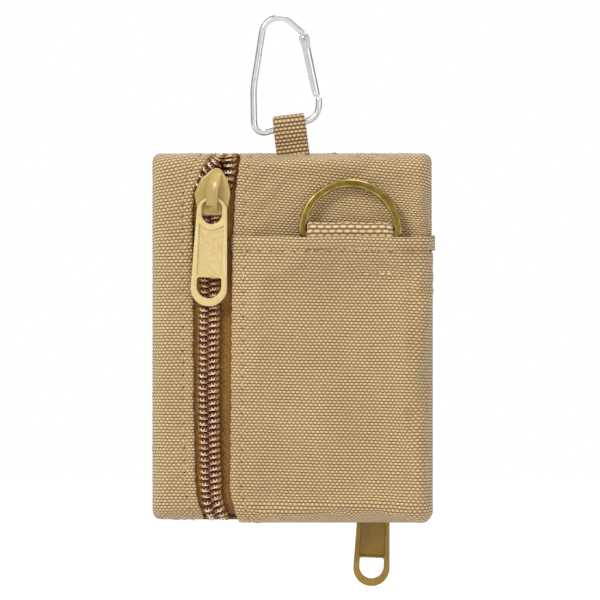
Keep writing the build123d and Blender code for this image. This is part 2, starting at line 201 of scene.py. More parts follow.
# %% Helper for finishes
class Finish:
    def __init__(self, name, **settings):
        self.material = bpy.data.materials.new(name)
        self.material.use_nodes = True
        self.nodes, self.links = self.material.node_tree.nodes, self.material.node_tree.links
        self.shader = self.nodes["Principled BSDF"]
        for socket, value in settings.items():
            self.shader.inputs[socket.replace("_", " ")].default_value = value

    def set(self, socket, value):
        if isinstance(value, (int, float, tuple)):
            socket.default_value = value
        else:
            self.links.new(value, socket)

    def node(self, kind, out=0, settings=None, **inputs):
        n = self.nodes.new(kind)
        for key, value in (settings or {}).items():
            setattr(n, key, value)
        for key, value in inputs.items():
            self.set(n.inputs[int(key[1:]) if key[1:].isdigit() else key], value)
        return n.outputs[out]

    def sum(self, operation, a, b=0.0, c=0.0):
        return self.node("ShaderNodeMath", settings={"operation": operation}, i0=a, i1=b, i2=c)

    def mix(self, share, a, b, blend="MIX"):
        n = self.nodes.new("ShaderNodeMix")
        n.data_type, n.blend_type = "RGBA", blend
        for socket, value in zip((n.inputs[0], n.inputs[6], n.inputs[7]), (share, a, b)):
            self.set(socket, value)
        return n.outputs[2]

    def ramp(self, value, low, high, to_low=0.0, to_high=1.0):
        return self.node("ShaderNodeMapRange", i0=value, i1=low, i2=high, i3=to_low, i4=to_high)

    def noise(self, scale, detail=2.0, where=None, out=0, rough=0.5):
        where = where or self.node("ShaderNodeTexCoord", out=3)
        return self.node("ShaderNodeTexNoise", out=out, Vector=where, Scale=scale, Detail=detail,
                         Roughness=rough)

    def stretched(self, where, scale):
        return self.node("ShaderNodeMapping", Vector=where, Scale=scale)

    def cloth(self, across, along, drift=0.0):
        """The cloth's own two coordinates, counted in yarns."""
        uv = self.node("ShaderNodeUVMap", settings={"uv_map": "cloth"})
        n = self.nodes.new("ShaderNodeSeparateXYZ")
        self.links.new(uv, n.inputs[0])
        u = self.sum("MULTIPLY", n.outputs[0], 1 / (across * MM))
        v = self.sum("MULTIPLY", n.outputs[1], 1 / (along * MM))
        if drift:
            u = self.sum("ADD", u, self.sum("MULTIPLY", self.noise(140.0, where=uv), drift))
            v = self.sum("ADD", v, self.sum("MULTIPLY", self.noise(95.0, where=uv), drift))
        return u, v, uv

    def bump(self, height, distance, strength=1.0):
        b = self.nodes.new("ShaderNodeBump")
        b.inputs["Distance"].default_value = distance * MM
        b.inputs["Strength"].default_value = strength
        self.links.new(height, b.inputs["Height"])
        self.links.new(b.outputs[0], self.shader.inputs["Normal"])

    def colour(self, value):
        self.set(self.shader.inputs["Base Color"], value)

    def rough(self, value):
        self.set(self.shader.inputs["Roughness"], value)


def tint(r, g, b):
    """A colour as the eye reads it, 0 to 255, as the linear numbers a shader takes."""
    return tuple((c / 255 / 12.92 if c < 11 else ((c / 255 + 0.055)
                                                  / 1.055) ** 2.4) for c in (r, g, b)) + (1.0,)

# %% [markdown]
# The canvas is a plain weave of thick soft yarn. The level yarn shows as pale ovals, 1.47 mm
# apart in rows 1.03 mm apart, and every other row is shifted by half that. Between two ovals
# the upright yarn lies lower and is coloured darker, partly its own tone and partly painted
# shade, and the gaps between yarns get the darkest colour, which is painted shade.

# %% Canvas
def weave(finish, across, along, over, under, painted_shade_gap, drift, depth, streak=0.3):
    f = finish
    u, v, uv = f.cloth(across, along, drift)
    row = f.sum("MODULO", f.sum("ABSOLUTE", f.sum("FLOOR", v)), 2.0)
    fu = f.sum("SUBTRACT", f.sum("FRACT", f.sum("MULTIPLY_ADD", row, 0.5, u)), 0.5)
    fv = f.sum("SUBTRACT", f.sum("FRACT", v), 0.5)

    def oval(a, b, wide, high):
        a, b = f.sum("DIVIDE", a, wide), f.sum("DIVIDE", b, high)
        inside = f.sum("SUBTRACT", 1.0, f.sum("MULTIPLY_ADD", a, a, f.sum("MULTIPLY", b, b)))
        return f.sum("POWER", f.sum("MAXIMUM", inside, 0.0), 0.5)

    level = oval(fu, fv, 0.41, 0.46)
    upright = f.sum("MULTIPLY", oval(f.sum("SUBTRACT", 0.5, f.sum("ABSOLUTE", fu)), fv, 0.24, 0.80), 0.62)
    height = f.sum("MAXIMUM", level, upright)
    fibre = f.noise(2600.0, 2.0, f.stretched(uv, (0.35, 1.0, 1.0)))
    patch = f.noise(38.0, 3.0, uv)
    # painted shade: the gaps take the darkest colour, and the lower upright yarn a darker one
    lit = f.mix(f.ramp(upright, 0.08, 0.45), painted_shade_gap, under)
    lit = f.mix(f.ramp(level, 0.10, 0.72), lit, over)
    lit = f.mix(f.ramp(fibre, 0.35, 0.75, 0.0, streak), lit, under)
    shade = f.ramp(patch, 0.3, 0.7, 0.92, 1.05)
    f.colour(f.mix(1.0, lit, f.node("ShaderNodeCombineXYZ", i0=shade, i1=shade, i2=shade), "MULTIPLY"))
    f.bump(f.sum("MULTIPLY_ADD", fibre, 0.12, height), depth)


# the third colour of each weave below is painted shade for the gaps between yarns
canvas = Finish("khaki_canvas", Roughness=0.82, Sheen_Weight=0.25, Sheen_Roughness=0.5,
                Specular_IOR_Level=0.25)
weave(canvas, 1.472, 1.03, tint(226, 198, 150), tint(164, 130, 82), tint(88, 60, 26), 0.5, 0.34)
lining = Finish("lining", Roughness=0.7)
weave(lining, 0.7, 0.35, tint(120, 100, 70), tint(105, 86, 58), tint(60, 46, 28), 0.6, 0.06)
binding = Finish("binding", Roughness=0.85)
weave(binding, 1.0, 0.8, tint(110, 88, 55), tint(96, 76, 46), tint(50, 36, 20), 0.4, 0.1)

# %% [markdown]
# Webbing is woven with raised ribs. On the loop they run along it, and on the ring's keeper
# they run across as rows of dashes; the low places between them are coloured dark as painted
# shade. The zip's tape is a fine twill, whose diagonal comes from adding the two cloth
# coordinates.

# %% Webbing, tape and thread
def ribbed(name, rib, dash, over, painted_shade_gap, depth):
    f = Finish(name, Roughness=0.78, Sheen_Weight=0.2, Specular_IOR_Level=0.3)
    u, v, uv = f.cloth(rib, dash, 0.25)
    shift = f.sum("MULTIPLY", f.sum("MODULO", f.sum("ABSOLUTE", f.sum("FLOOR", u)), 2.0), 0.5)
    cu = f.sum("COSINE", f.sum("MULTIPLY", f.sum("SUBTRACT", f.sum("FRACT", u), 0.5), math.pi))
    cv = f.sum("COSINE", f.sum("MULTIPLY", f.sum("SUBTRACT", f.sum("FRACT", f.sum("ADD", v, shift)), 0.5),
                               math.pi))
    height = f.sum("MULTIPLY", f.sum("POWER", cu, 0.8),
                   f.sum("MULTIPLY_ADD", f.sum("POWER", cv, 0.8), 0.6, 0.4))
    fibre = f.noise(2400.0, 2.0, uv)
    # painted shade: the low places between ribs take the dark colour
    lit = f.mix(f.ramp(height, 0.30, 0.90), painted_shade_gap, over)
    f.colour(f.mix(f.ramp(fibre, 0.3, 0.75, 0.0, 0.3), lit, painted_shade_gap))
    f.bump(f.sum("MULTIPLY_ADD", fibre, 0.15, height), depth)
    return f


# the second colour of each webbing is painted shade between the ribs
loop_webbing = ribbed("loop_webbing", 1.30, 1.45, tint(230, 198, 148), tint(90, 62, 24), 0.34)
keeper_webbing = ribbed("keeper_webbing", 1.41, 2.6, tint(240, 212, 164), tint(118, 88, 46), 0.38)

tape_cloth = Finish("zip_tape", Roughness=0.8, Specular_IOR_Level=0.3)
u, v, uv = tape_cloth.cloth(0.80, 0.80, 0.2)
twill = tape_cloth.sum("COSINE", tape_cloth.sum("MULTIPLY", tape_cloth.sum("ADD", u, v), 2 * math.pi))
fleck = tape_cloth.noise(1800.0, 2.0, uv)
tape_mix = tape_cloth.mix(tape_cloth.ramp(twill, -1.0, 1.0), tint(112, 70, 26), tint(194, 140, 72))
tape_cloth.colour(tape_cloth.mix(tape_cloth.ramp(fleck, 0.35, 0.7, 0.0, 0.45), tape_mix, tint(100, 62, 26)))
tape_cloth.bump(twill, 0.06)


def plain_thread(name, light, dark):
    f = Finish(name, Roughness=0.6, Sheen_Weight=0.15)
    f.colour(f.mix(f.ramp(f.noise(900.0, 2.0), 0.3, 0.7), dark, light))
    return f


khaki_thread = plain_thread("khaki_thread", tint(222, 194, 146), tint(172, 142, 96))
ochre_thread = plain_thread("ochre_thread", tint(186, 136, 54), tint(132, 90, 30))
pale_thread = plain_thread("pale_thread", tint(246, 228, 200), tint(206, 170, 124))
# the next two finishes are painted shade: the dark of the needle holes and of the gaps beside the coil
hole_shade = plain_thread("needle_hole", tint(112, 84, 46), tint(84, 60, 32))
gap_shade = plain_thread("gap_shade", tint(76, 34, 14), tint(46, 20, 10))

# %% [markdown]
# The coil is one bent nylon filament, glossy and a little clear, so it gets a low roughness
# and some light under its skin. The cast pieces are enamelled: the front pull pale khaki, the
# front slider a darker copy of that enamel whose darkening is painted shade, and the back pair
# olive. The ring is brass with an aged skin that is worn bright on its bevels.

# %% Nylon, enamel and metals
nylon = Finish("zip_coil", Roughness=0.34, Specular_IOR_Level=0.4, Coat_Weight=0.15)
nylon.colour(nylon.mix(nylon.ramp(nylon.noise(420.0, 2.0), 0.35, 0.65), tint(80, 34, 10), tint(132, 74, 30)))
cord_core = Finish("coil_core", Roughness=0.8)
cord_core.colour(cord_core.mix(cord_core.noise(900.0), tint(52, 26, 14), tint(84, 46, 24)))


def enamel(name, light, dark, rough):
    f = Finish(name, Metallic=0.0, Coat_Weight=0.35, Coat_Roughness=0.25, Specular_IOR_Level=0.5)
    cloud = f.noise(120.0, 3.0)
    grain = f.noise(2600.0, 2.0)
    f.colour(f.mix(f.ramp(cloud, 0.3, 0.7), dark, light))
    f.rough(f.ramp(grain, 0.3, 0.7, rough - 0.07, rough + 0.09))
    f.bump(f.sum("MULTIPLY_ADD", grain, 0.4, cloud), 0.05)
    return f


pale_enamel = enamel("pale_enamel", tint(224, 200, 140), tint(210, 184, 120), 0.42)
# the pull's pale enamel made darker, as painted shade on the slider
slider_enamel = enamel("slider_enamel", tint(196, 168, 98), tint(172, 144, 76), 0.34)
olive_enamel = enamel("olive_enamel", tint(162, 126, 34), tint(140, 108, 22), 0.40)
recess_grain = Finish("pale_enamel_cast", Specular_IOR_Level=0.4)
pits = recess_grain.noise(2100.0, 2.0)
recess_grain.colour(recess_grain.mix(recess_grain.ramp(pits, 0.3, 0.7), tint(200, 173, 112),
                                     tint(220, 196, 138)))
recess_grain.rough(0.55)
recess_grain.bump(pits, 0.16)
olive_cast = enamel("olive_enamel_cast", tint(154, 118, 20), tint(124, 94, 12), 0.5)

brass = Finish("antique_brass", Metallic=1.0)
streak = brass.noise(60.0, 4.0, brass.stretched(brass.node("ShaderNodeTexCoord", out=3), (6.0, 1.0, 6.0)))
spot = brass.noise(420.0, 3.0)
aged = brass.mix(brass.ramp(streak, 0.35, 0.65), tint(106, 86, 22), tint(146, 120, 44))
aged = brass.mix(brass.ramp(spot, 0.5, 0.72, 0.0, 0.55), aged, tint(80, 62, 22))
worn = brass.node("ShaderNodeAttribute", out=2, settings={"attribute_name": "worn"})
brass.colour(brass.mix(worn, aged, tint(226, 202, 140)))
brass.rough(brass.ramp(spot, 0.3, 0.7, 0.26, 0.44))
brass.bump(brass.sum("ADD", streak, spot), 0.05)


def bare_metal(name, light, dark, rough):
    f = Finish(name, Metallic=1.0)
    cloud = f.noise(90.0, 3.0)
    f.colour(f.mix(f.ramp(cloud, 0.3, 0.7), dark, light))
    f.rough(f.ramp(f.noise(1500.0, 2.0), 0.3, 0.7, rough - 0.05, rough + 0.07))
    f.bump(cloud, 0.03)
    return f


aluminium = bare_metal("hook_aluminium", tint(236, 236, 236), tint(214, 214, 214), 0.20)
steel = bare_metal("steel", tint(206, 206, 208), tint(180, 180, 184), 0.28)
print("finishes", len(bpy.data.materials))

# %% [markdown]
# A sewn pouch has no flat front with a sharp rim: the cloth rises from the side seam in one
# soft roll and then runs on nearly flat. So the body starts from one curve, the seam to the
# face, measured along the cloth. A point of the cloth is then a pair of lengths, across and
# up, and its height is the product of the two rolls, which also closes the corners.

# %% The shape of the sewn body
ROLL = 6.4
CORNER = 3.2
roll_a = np.linspace(0, np.pi / 2, 240)
roll_in = ROLL * (1 - np.cos(roll_a) ** 0.86)
roll_up = np.sin(roll_a) ** 0.86
roll_s = np.concatenate([[0], np.cumsum(np.hypot(np.diff(roll_in), face * np.diff(roll_up)))])
roll_length = roll_s[-1]
cloth_width = 2 * roll_length + (right - left) - 2 * ROLL
cloth_height = 2 * roll_length + (top - bottom) - 2 * ROLL


def along(s, low, total):
    """Cloth length from one seam -> (place in the frame, share of the full height)."""
    s = np.asarray(s, float)
    near = np.minimum(s, total - s)
    inside = np.interp(near, roll_s, roll_in) + np.maximum(near - roll_length, 0)
    span = total - 2 * roll_length + 2 * ROLL
    place = np.where(s <= total / 2, low + inside, low + span - inside)
    return place, np.interp(near, roll_s, roll_up)


def cloth_at(x):
    """Place across the face -> cloth length, for places on the flat part."""
    return roll_length + (np.asarray(x, float) - left - ROLL)


def body_skin(s, t, grow=0.0):
    """Points of the front cloth at cloth lengths s across and t up, and their outward directions."""
    s, t = np.broadcast_arrays(np.asarray(s, float), np.asarray(t, float))

    def raw(s, t):
        x, hx = along(s, left, cloth_width)
        z, hz = along(t, bottom, cloth_height)
        p = np.clip(CORNER - np.minimum(x - left, right - x), 0, CORNER)
        q = np.clip(CORNER - np.minimum(z - bottom, top - z), 0, CORNER)
        x = x + (p - p * np.sqrt(1 - q * q / (2 * CORNER ** 2))) * np.where(x < middle[0], 1, -1)
        z = z + (q - q * np.sqrt(1 - p * p / (2 * CORNER ** 2))) * np.where(z < middle[2], 1, -1)
        return np.stack([x, -face * hx * hz, z], -1)

    e = 0.12
    ds = raw(np.clip(s + e, 0, cloth_width), t) - raw(np.clip(s - e, 0, cloth_width), t)
    dt = raw(s, np.clip(t + e, 0, cloth_height)) - raw(s, np.clip(t - e, 0, cloth_height))
    out = np.cross(ds, dt)
    out /= np.maximum(np.linalg.norm(out, axis=-1), 1e-9)[..., None]
    return raw(s, t) + out * (grow if np.ndim(grow) == 0 else np.asarray(grow)[..., None]), out


rows_t = np.linspace(0, cloth_height, 168)
rows_z = along(rows_t, bottom, cloth_height)[0]
print("cloth for each face", round(cloth_width, 1), "x", round(cloth_height, 1), "mm")

# %% [markdown]
# The zip's window is cut a little out of true. Its edges slant to the right where they pass
# over the top and bottom of the pouch, and each folded edge is slightly scalloped between
# needle holes. Both edges are functions of the height.

# %% Edges of the zip's window
LEFT_EDGE = [(-172, 4.0), (-170.7, 3.6), (-163, 1.3), (-155.7, 0.55), (-130, 0.1), (-90, -0.2), (-66, -0.15),
             (-58.8, 0.05), (-52.9, 2.4), (-46.4, 5.9), (-45.9, 6.3)]
RIGHT_EDGE = [(-172, 2.5), (-170.7, 2.1), (-161, -0.4), (-150, -0.35), (-110, 0.05), (-73, 0.5), (-60, 1.3),
              (-55.3, 1.8), (-49.6, 2.6), (-45.9, 3.1)]
half_window = (panel_low[0] - strip_high[0]) / 2


def edge_line(z, side):
    z0, dx = np.array(LEFT_EDGE if side < 0 else RIGHT_EDGE, float).T
    z = np.asarray(z, float)
    base = zip_x + side * half_window + np.interp(z, z0, dx)
    scallop = 0.16 * (1 - np.cos(2 * np.pi * z / 4.2 + 2 * wander(z, 0 * z, 11.0,
                                                                  side))) + 0.32 * wander(z, 0 * z, 9.0, 5 + side)
    return base + side * np.abs(scallop)


# %% [markdown]
# Padded cloth gets its life from simulation. Each panel is run as Blender cloth with its
# seams held, a little slack in its yarn and some air pressure behind it, so it swells between
# the seams and puckers along them. The run is on a coarse grid ten times life size, which
# suits the solver, and only the movement is kept, limited and carried to the fine grid.

# %% Cloth settling
def settle(points, held, pressure=0.22, slack=0.015, limit=1.6, frames=18):
    """The limited movement of a grid of points, rows x columns x 3, under pressure."""
    rows, columns = points.shape[:2]
    mesh = bpy.data.meshes.new("settling")
    flat = points.reshape(-1, 3) * 0.01
    mesh.from_pydata([tuple(p) for p in flat], [], sheet_faces(rows, columns))
    piece = bpy.data.objects.new("settling", mesh)
    bpy.context.scene.collection.objects.link(piece)
    group = piece.vertex_groups.new(name="held")
    for weight in np.unique(np.round(held, 2)):
        if weight > 0:
            group.add([int(i) for i in np.flatnonzero(np.isclose(held.ravel(), weight, atol=0.006))],
                      float(weight), "REPLACE")
    cloth = piece.modifiers.new("Cloth", "CLOTH")
    c = cloth.settings
    c.quality, c.mass, c.air_damping = 6, 0.15, 2.0
    c.tension_stiffness = c.compression_stiffness = 25.0
    c.bending_stiffness = 0.35
    c.shrink_min = c.shrink_max = -slack
    c.use_pressure, c.uniform_pressure_force = True, pressure
    c.effector_weights.gravity = 0.0
    c.vertex_group_mass = "held"
    cloth.collision_settings.use_self_collision = False
    cloth.point_cache.frame_start, cloth.point_cache.frame_end = 1, frames
    scene = bpy.context.scene
    for f in range(1, frames + 1):
        scene.frame_set(f)
    got = piece.evaluated_get(bpy.context.evaluated_depsgraph_get()).data
    co = np.empty(len(got.vertices) * 3, np.float32)
    got.vertices.foreach_get("co", co)
    scene.frame_set(1)
    bpy.data.objects.remove(piece)
    bpy.data.meshes.remove(mesh)
    move = (co.reshape(-1, 3) - flat) * 100
    size = np.linalg.norm(move, axis=1)[:, None]
    move *= np.tanh(size / limit) * limit / np.maximum(size, 1e-9)
    print("cloth moved up to", round(float(size.max()), 2), "mm, kept",
          round(float(np.linalg.norm(move, axis=1).max()), 2))
    return move.reshape(rows, columns, 3)


def carried(coarse, rows, columns):
    """A coarse grid of movements, spread over a finer grid of the same cloth."""
    r, c = coarse.shape[:2]
    a, b = np.linspace(0, r - 1, rows), np.linspace(0, c - 1, columns)
    i, j = np.minimum(a.astype(int), r - 2), np.minimum(b.astype(int), c - 2)
    fa, fb = (a - i)[:, None, None], (b - j)[None, :, None]
    g = lambda di, dj: coarse[i + di][:, j + dj]
    return g(0, 0) * (1 - fa) * (1 - fb) + g(1, 0) * fa * (1 - fb) + g(0,
                                                                       1) * (1 - fa) * fb + g(1, 1) * fa * fb

# %% [markdown]
# The strip and the panel are the same kind of piece: cloth from a side seam to the zip's
# window, folded under there. The fold is a half turn of 0.9 mm radius and a tail behind the
# tape. A row of stitching 2.7 mm from the fold pulls the cloth down into a shallow groove.

# %% Face cloths beside the zip
FOLD = 0.9
STITCH_IN = 2.7
STITCH_PITCH = 4.2


def face_cloth(side, cells, grow=0.0, rows=rows_t, edge_shift=0.0, fold=FOLD, lift=None, seed=0.0,
               settle_with=None):
    """side -1 is the strip, +1 the panel. Returns the grid of points and of cloth coordinates."""
    z = along(rows, bottom, cloth_height)[0]
    edge = edge_line(z, side) + edge_shift + side * fold
    s_edge = cloth_at(edge)
    share = np.linspace(0, 1, cells)
    s = s_edge[:, None] * share if side < 0 else cloth_width + (s_edge[:, None] - cloth_width) * share
    t = np.repeat(rows[:, None], cells, 1)
    sides_ = np.minimum(s, cloth_width - s)
    extra = grow * (0.35 + 0.65 * (sides_ / 9).clip(0, 1))
    if lift is not None:
        extra = extra + lift(along(s, left, cloth_width)[0], z[:, None] + 0 * s)
    points, out = body_skin(s, t, extra)
    # long soft swells, and short puckers that run away from the seams
    x_all, z_all = points[..., 0], points[..., 2]
    seam_near = np.minimum(np.minimum(s, cloth_width - s), np.minimum(t, cloth_height - t))
    pucker = np.exp(-seam_near / 5.0) * (seam_near / 2.2).clip(0, 1)
    swell = 0.45 * wander(x_all, z_all, 21.0, seed) * (seam_near / 10).clip(0, 1)
    crease = 0.42 * pucker * wander(x_all + z_all * 0.6, z_all - x_all * 0.6, 3.6, seed + 3)
    from_edge = np.abs(s - s_edge[:, None])
    groove = -0.34 * np.exp(-((from_edge - STITCH_IN) / 0.75) ** 2)
    needle = 0.5 + 0.5 * np.cos(2 * np.pi * t / STITCH_PITCH)
    bead = 0.22 * np.exp(-((from_edge - STITCH_IN / 2) / 0.8) ** 2) * (1 - 0.5 * needle)
    gather = 0.26 * np.exp(-((from_edge - 5.5) / 3.6) ** 2) * wander(x_all * 0.55, z_all, 2.7, seed + 7)
    fade = (seam_near / 6).clip(0, 1)
    points = points + out * (swell + crease + (groove * (0.55 + 0.45 * needle) + bead + gather)
                             * fade)[..., None]
    if settle_with is not None:
        r, c = len(rows) // 2, max(8, cells // 2)
        i, j = np.linspace(0, len(rows) - 1, r).astype(int), np.linspace(0, cells - 1, c).astype(int)
        held = np.zeros((r, c))
        held[:, :1] = held[:, -2:] = held[:1] = held[-1:] = 1.0
        held[:, -4:-2] = 0.4
        held = np.maximum(held, settle_with(points[i][:, j])) if callable(settle_with) else held
        points = points + carried(settle(points[i][:, j], held), len(rows), cells)
    # the half turn at the window and the tail under it
    p0, n0 = points[:, -1], out[:, -1]
    away = np.tile([-side * 1.0, 0, 0], (len(rows), 1))
    turns = []
    for a in np.linspace(0, np.pi, 8)[1:]:
        turns.append(p0 - n0 * fold + fold * (n0 * math.cos(a) + away * math.sin(a)))
    for back in (1.5, 3.5, 5.5):
        turns.append(p0 - 2 * fold * n0 - away * back)
    far = np.concatenate([np.linspace(0, np.pi, 8)[1:] * fold, np.pi * fold + np.array([1.5, 3.5, 5.5])])
    grid = np.concatenate([points, np.stack(turns, 1)], 1)
    flat_s = np.concatenate([s, s_edge[:, None] - side * far], 1)
    flat = np.stack([flat_s, np.repeat(rows[:, None], flat_s.shape[1], 1)], -1)
    return grid, flat


def cloth_piece(name, grid, flat, thick=0.85, slant=None, flip=None):
    rows, columns = grid.shape[:2]
    points = grid.reshape(-1, 3)
    faces = sheet_faces(rows, columns)
    a, b, c = (np.array(points)[[f[k] for f in faces]] for k in (0, 1, 3))
    direction = np.cross(b - a, c - a)
    where = (a - middle) * np.array([0.25, 1, 0.25])
    if flip if flip is not None else (direction * where).sum() < 0:
        faces = [tuple(reversed(f)) for f in faces]
    uv = flat.reshape(-1, 2).copy()
    if slant is not None:
        uv[:, 1] += slant(uv[:, 0], uv[:, 1])
    piece = new_piece(name, points, faces, canvas.material, uv=uv)
    wall = piece.modifiers.new("thickness", "SOLIDIFY")
    wall.thickness, wall.offset = thick * MM, -1.0
    return piece


def turned_over(grid):
    """Through the pouch's middle point: left to right, front to back, top to bottom."""
    return 2 * middle - grid


def upper_slant(s, t):
    """Weave rows drop to the right near the top, as the cloth was cut a little off the grain."""
    return 0.10 * s * np.clip((t - cloth_height * 0.62) / (cloth_height * 0.25), 0, 1) + 0.02 * s


strip_grid, strip_flat = face_cloth(-1, 26, seed=1.0, settle_with=True)
panel_grid, panel_flat = face_cloth(1, 84, seed=2.0, settle_with=True)
front_strip = cloth_piece("front_strip_cloth", strip_grid, strip_flat, slant=lambda s,
                          t: -0.25 * s * np.clip((t - cloth_height + 45) / 45, 0, 1))
front_panel = cloth_piece("front_panel_cloth", panel_grid, panel_flat, slant=upper_slant)
back_strip = cloth_piece("back_strip_cloth", turned_over(strip_grid), strip_flat)
back_panel = cloth_piece("back_panel_cloth", turned_over(panel_grid), panel_flat, slant=upper_slant)

# %% [markdown]
# The slip pocket is one more layer of the same cloth over the lower front. It shares the
# panel's folded edge beside the zip, is sewn in at the side and bottom seams, and its hemmed
# mouth bows outwards because it passes over the end of the ring's keeper.

# %% Slip pocket
keeper_low, keeper_high = box_mm("d_ring_keeper")
bar = point["d_ring_swing"]
hem_z = bar[2] - 1.25
HEM = 4.0
POCKET_OUT = 1.1


def over_keeper(x, z):
    """How far the pocket stands off the panel."""
    near = np.clip((z - (hem_z - 17)) / 17, 0, 1)
    near = near * near * (3 - 2 * near)
    wide = np.exp(-(np.abs(x - bar[0]) / 21.5) ** 4)
    side_share = np.clip((x - (zip_x + 6)) / 10, 0, 1) * np.clip((right - 1 - x) / 8, 0, 1)
    tail = 1.9 * np.clip((z - bottom) / 30, 0, 1) * side_share
    crease = -0.55 * np.exp(-((z - (hem_z - HEM)) / 0.9) ** 2) * (0.6 + 0.4 * np.cos(2 * np.pi * x / 3.2))
    return tail + (4.2 * wide * near ** 1.5 + 0.5
                   * near) * side_share + crease + 0.3 * np.exp(-((z - hem_z + 1.8) / 1.4) ** 2)


hem_t = cloth_height - roll_length - (top - ROLL - hem_z)
pocket_rows = np.linspace(0, hem_t, 118)
pocket_grid, pocket_flat = face_cloth(1, 80, grow=POCKET_OUT, rows=pocket_rows, edge_shift=-0.1,
                                      fold=FOLD + 0.35,
                                      lift=over_keeper, seed=4.0,
                                      settle_with=lambda p: np.where(p[..., 2] > hem_z - 9, 1.0, 0.0))
droop = 0.35 * wander(pocket_grid[-1, :, 0], 0 * pocket_grid[-1, :, 0], 17.0, 9.0)
edge_share = (np.clip((pocket_rows - hem_t + 12) / 12, 0, 1) ** 2)[:, None] * np.ones(pocket_grid.shape[1])
pocket_grid[..., 2] += edge_share * droop[None]
# the hem: over the top edge in a half turn, then down inside to the stitching
lip, turn_in = pocket_grid[-1], []
inwards = np.tile([0, 1.0, 0], (len(lip), 1))
for a in np.linspace(0, np.pi, 7)[1:]:
    turn_in.append(lip + inwards * 0.75 * (1 - math.cos(a)) + np.array([0, 0, 0.75]) * math.sin(a))
for down in (1.2, 2.6, HEM):
    turn_in.append(lip + inwards * (1.5 + 0.02 * down) - np.array([0, 0, down]))
pocket_grid = np.concatenate([pocket_grid, np.array(turn_in)], 0)
more = np.concatenate([np.linspace(0, np.pi, 7)[1:] * 0.75, np.pi * 0.75 + np.array([1.2, 2.6, HEM])])
pocket_flat = np.concatenate([pocket_flat, pocket_flat[-1:] + np.stack([0 * more, more], 1)[:, None]], 0)
slip_pocket = cloth_piece("slip_pocket_cloth", pocket_grid, pocket_flat, thick=0.7, slant=lambda s,
                          t: 0.02 * s)
print("pocket hem at", round(hem_z, 1), "mm, stands out to", round(float(-pocket_grid[..., 1].min()), 1))

# %% [markdown]
# Zip tapes are woven strips sewn behind the folded edges. The front zip's two rows part above
# the slider, each following its own slanting line over the top of the pouch, so the tapes
# follow those lines too. The back zip is the same zip turned end for end.

# %% Lines of the two coil rows, and the tapes
tooth_low = box_mm("front_zip_coil_left")[0]
chain_out = -tooth_low[1]
CHAIN_MID = face - chain_out + 0.85
TAPE_IN = 1.9
ROW = [(-172, 2.3), (-169.7, 1.9), (-167.3, 0.85), (-163.9, 0.0), (-157, -0.5), (-148.6, -0.7),
       (-130, -1.15), (-109.5, -1.05),
       (-90.8, -0.7), (-78, -0.35)]
LEFT_ROW = ROW + [(-66, -0.1), (-63, -0.35), (-61, -1.1), (-59, -2.0), (-57.2, -2.5), (-55.3, -2.3),
                  (-53.6, -1.05),
                  (-51.5, 1.0), (-49, 3.1), (-47, 4.2), (-45.9, 4.7)]
RIGHT_ROW = ROW + [(-66, 0.0), (-63, 0.15), (-61, 0.6), (-59, 1.8), (-57, 3.2), (-55, 4.0), (-52, 4.4),
                   (-48.5, 4.6), (-45.9, 4.7)]


def row_line(z, side):
    z0, dx = np.array(LEFT_ROW if side < 0 else RIGHT_ROW, float).T
    soft = sum(np.interp(z + k, z0, dx) for k in (-0.8, -0.4, 0, 0.4, 0.8)) / 5
    return zip_x + soft + 0.05 * wander(z, 0 * z, 14.0, 3.0)


def tape_grid(side):
    near = row_line(rows_z, side) + side * 0.9
    far = edge_line(rows_z, side) + side * 6.0
    share = np.linspace(0, 1, 16)
    x = near[:, None] + (far - near)[:, None] * share
    s = cloth_at(x)
    t = np.repeat(rows_t[:, None], 16, 1)
    ripple = 0.10 * wander(x * 0.3, rows_z[:, None] + 0 * x, 2.6, side)
    points, _ = body_skin(s, t, -TAPE_IN + ripple)
    return points, np.stack([s, t], -1)


tapes = {}
for side, word in ((-1, "left"), (1, "right")):
    grid, flat = tape_grid(side)
    for face_word, g in (("front", grid), ("back", turned_over(grid))):
        piece = cloth_piece(f"{face_word}_tape_{word}", g, flat, thick=0.5)
        piece.data.materials[0] = tape_cloth.material
        tapes[face_word, word] = piece

# %% [markdown]
# Two things on this pouch repeat along a line: the turns of the coil and the stitches. One
# Geometry Nodes tree serves both. It takes a line, spaces points along it by a pitch, stands
# a small template on each, turned to the line and to its outward direction, and ends by
# making them real and giving them their material.

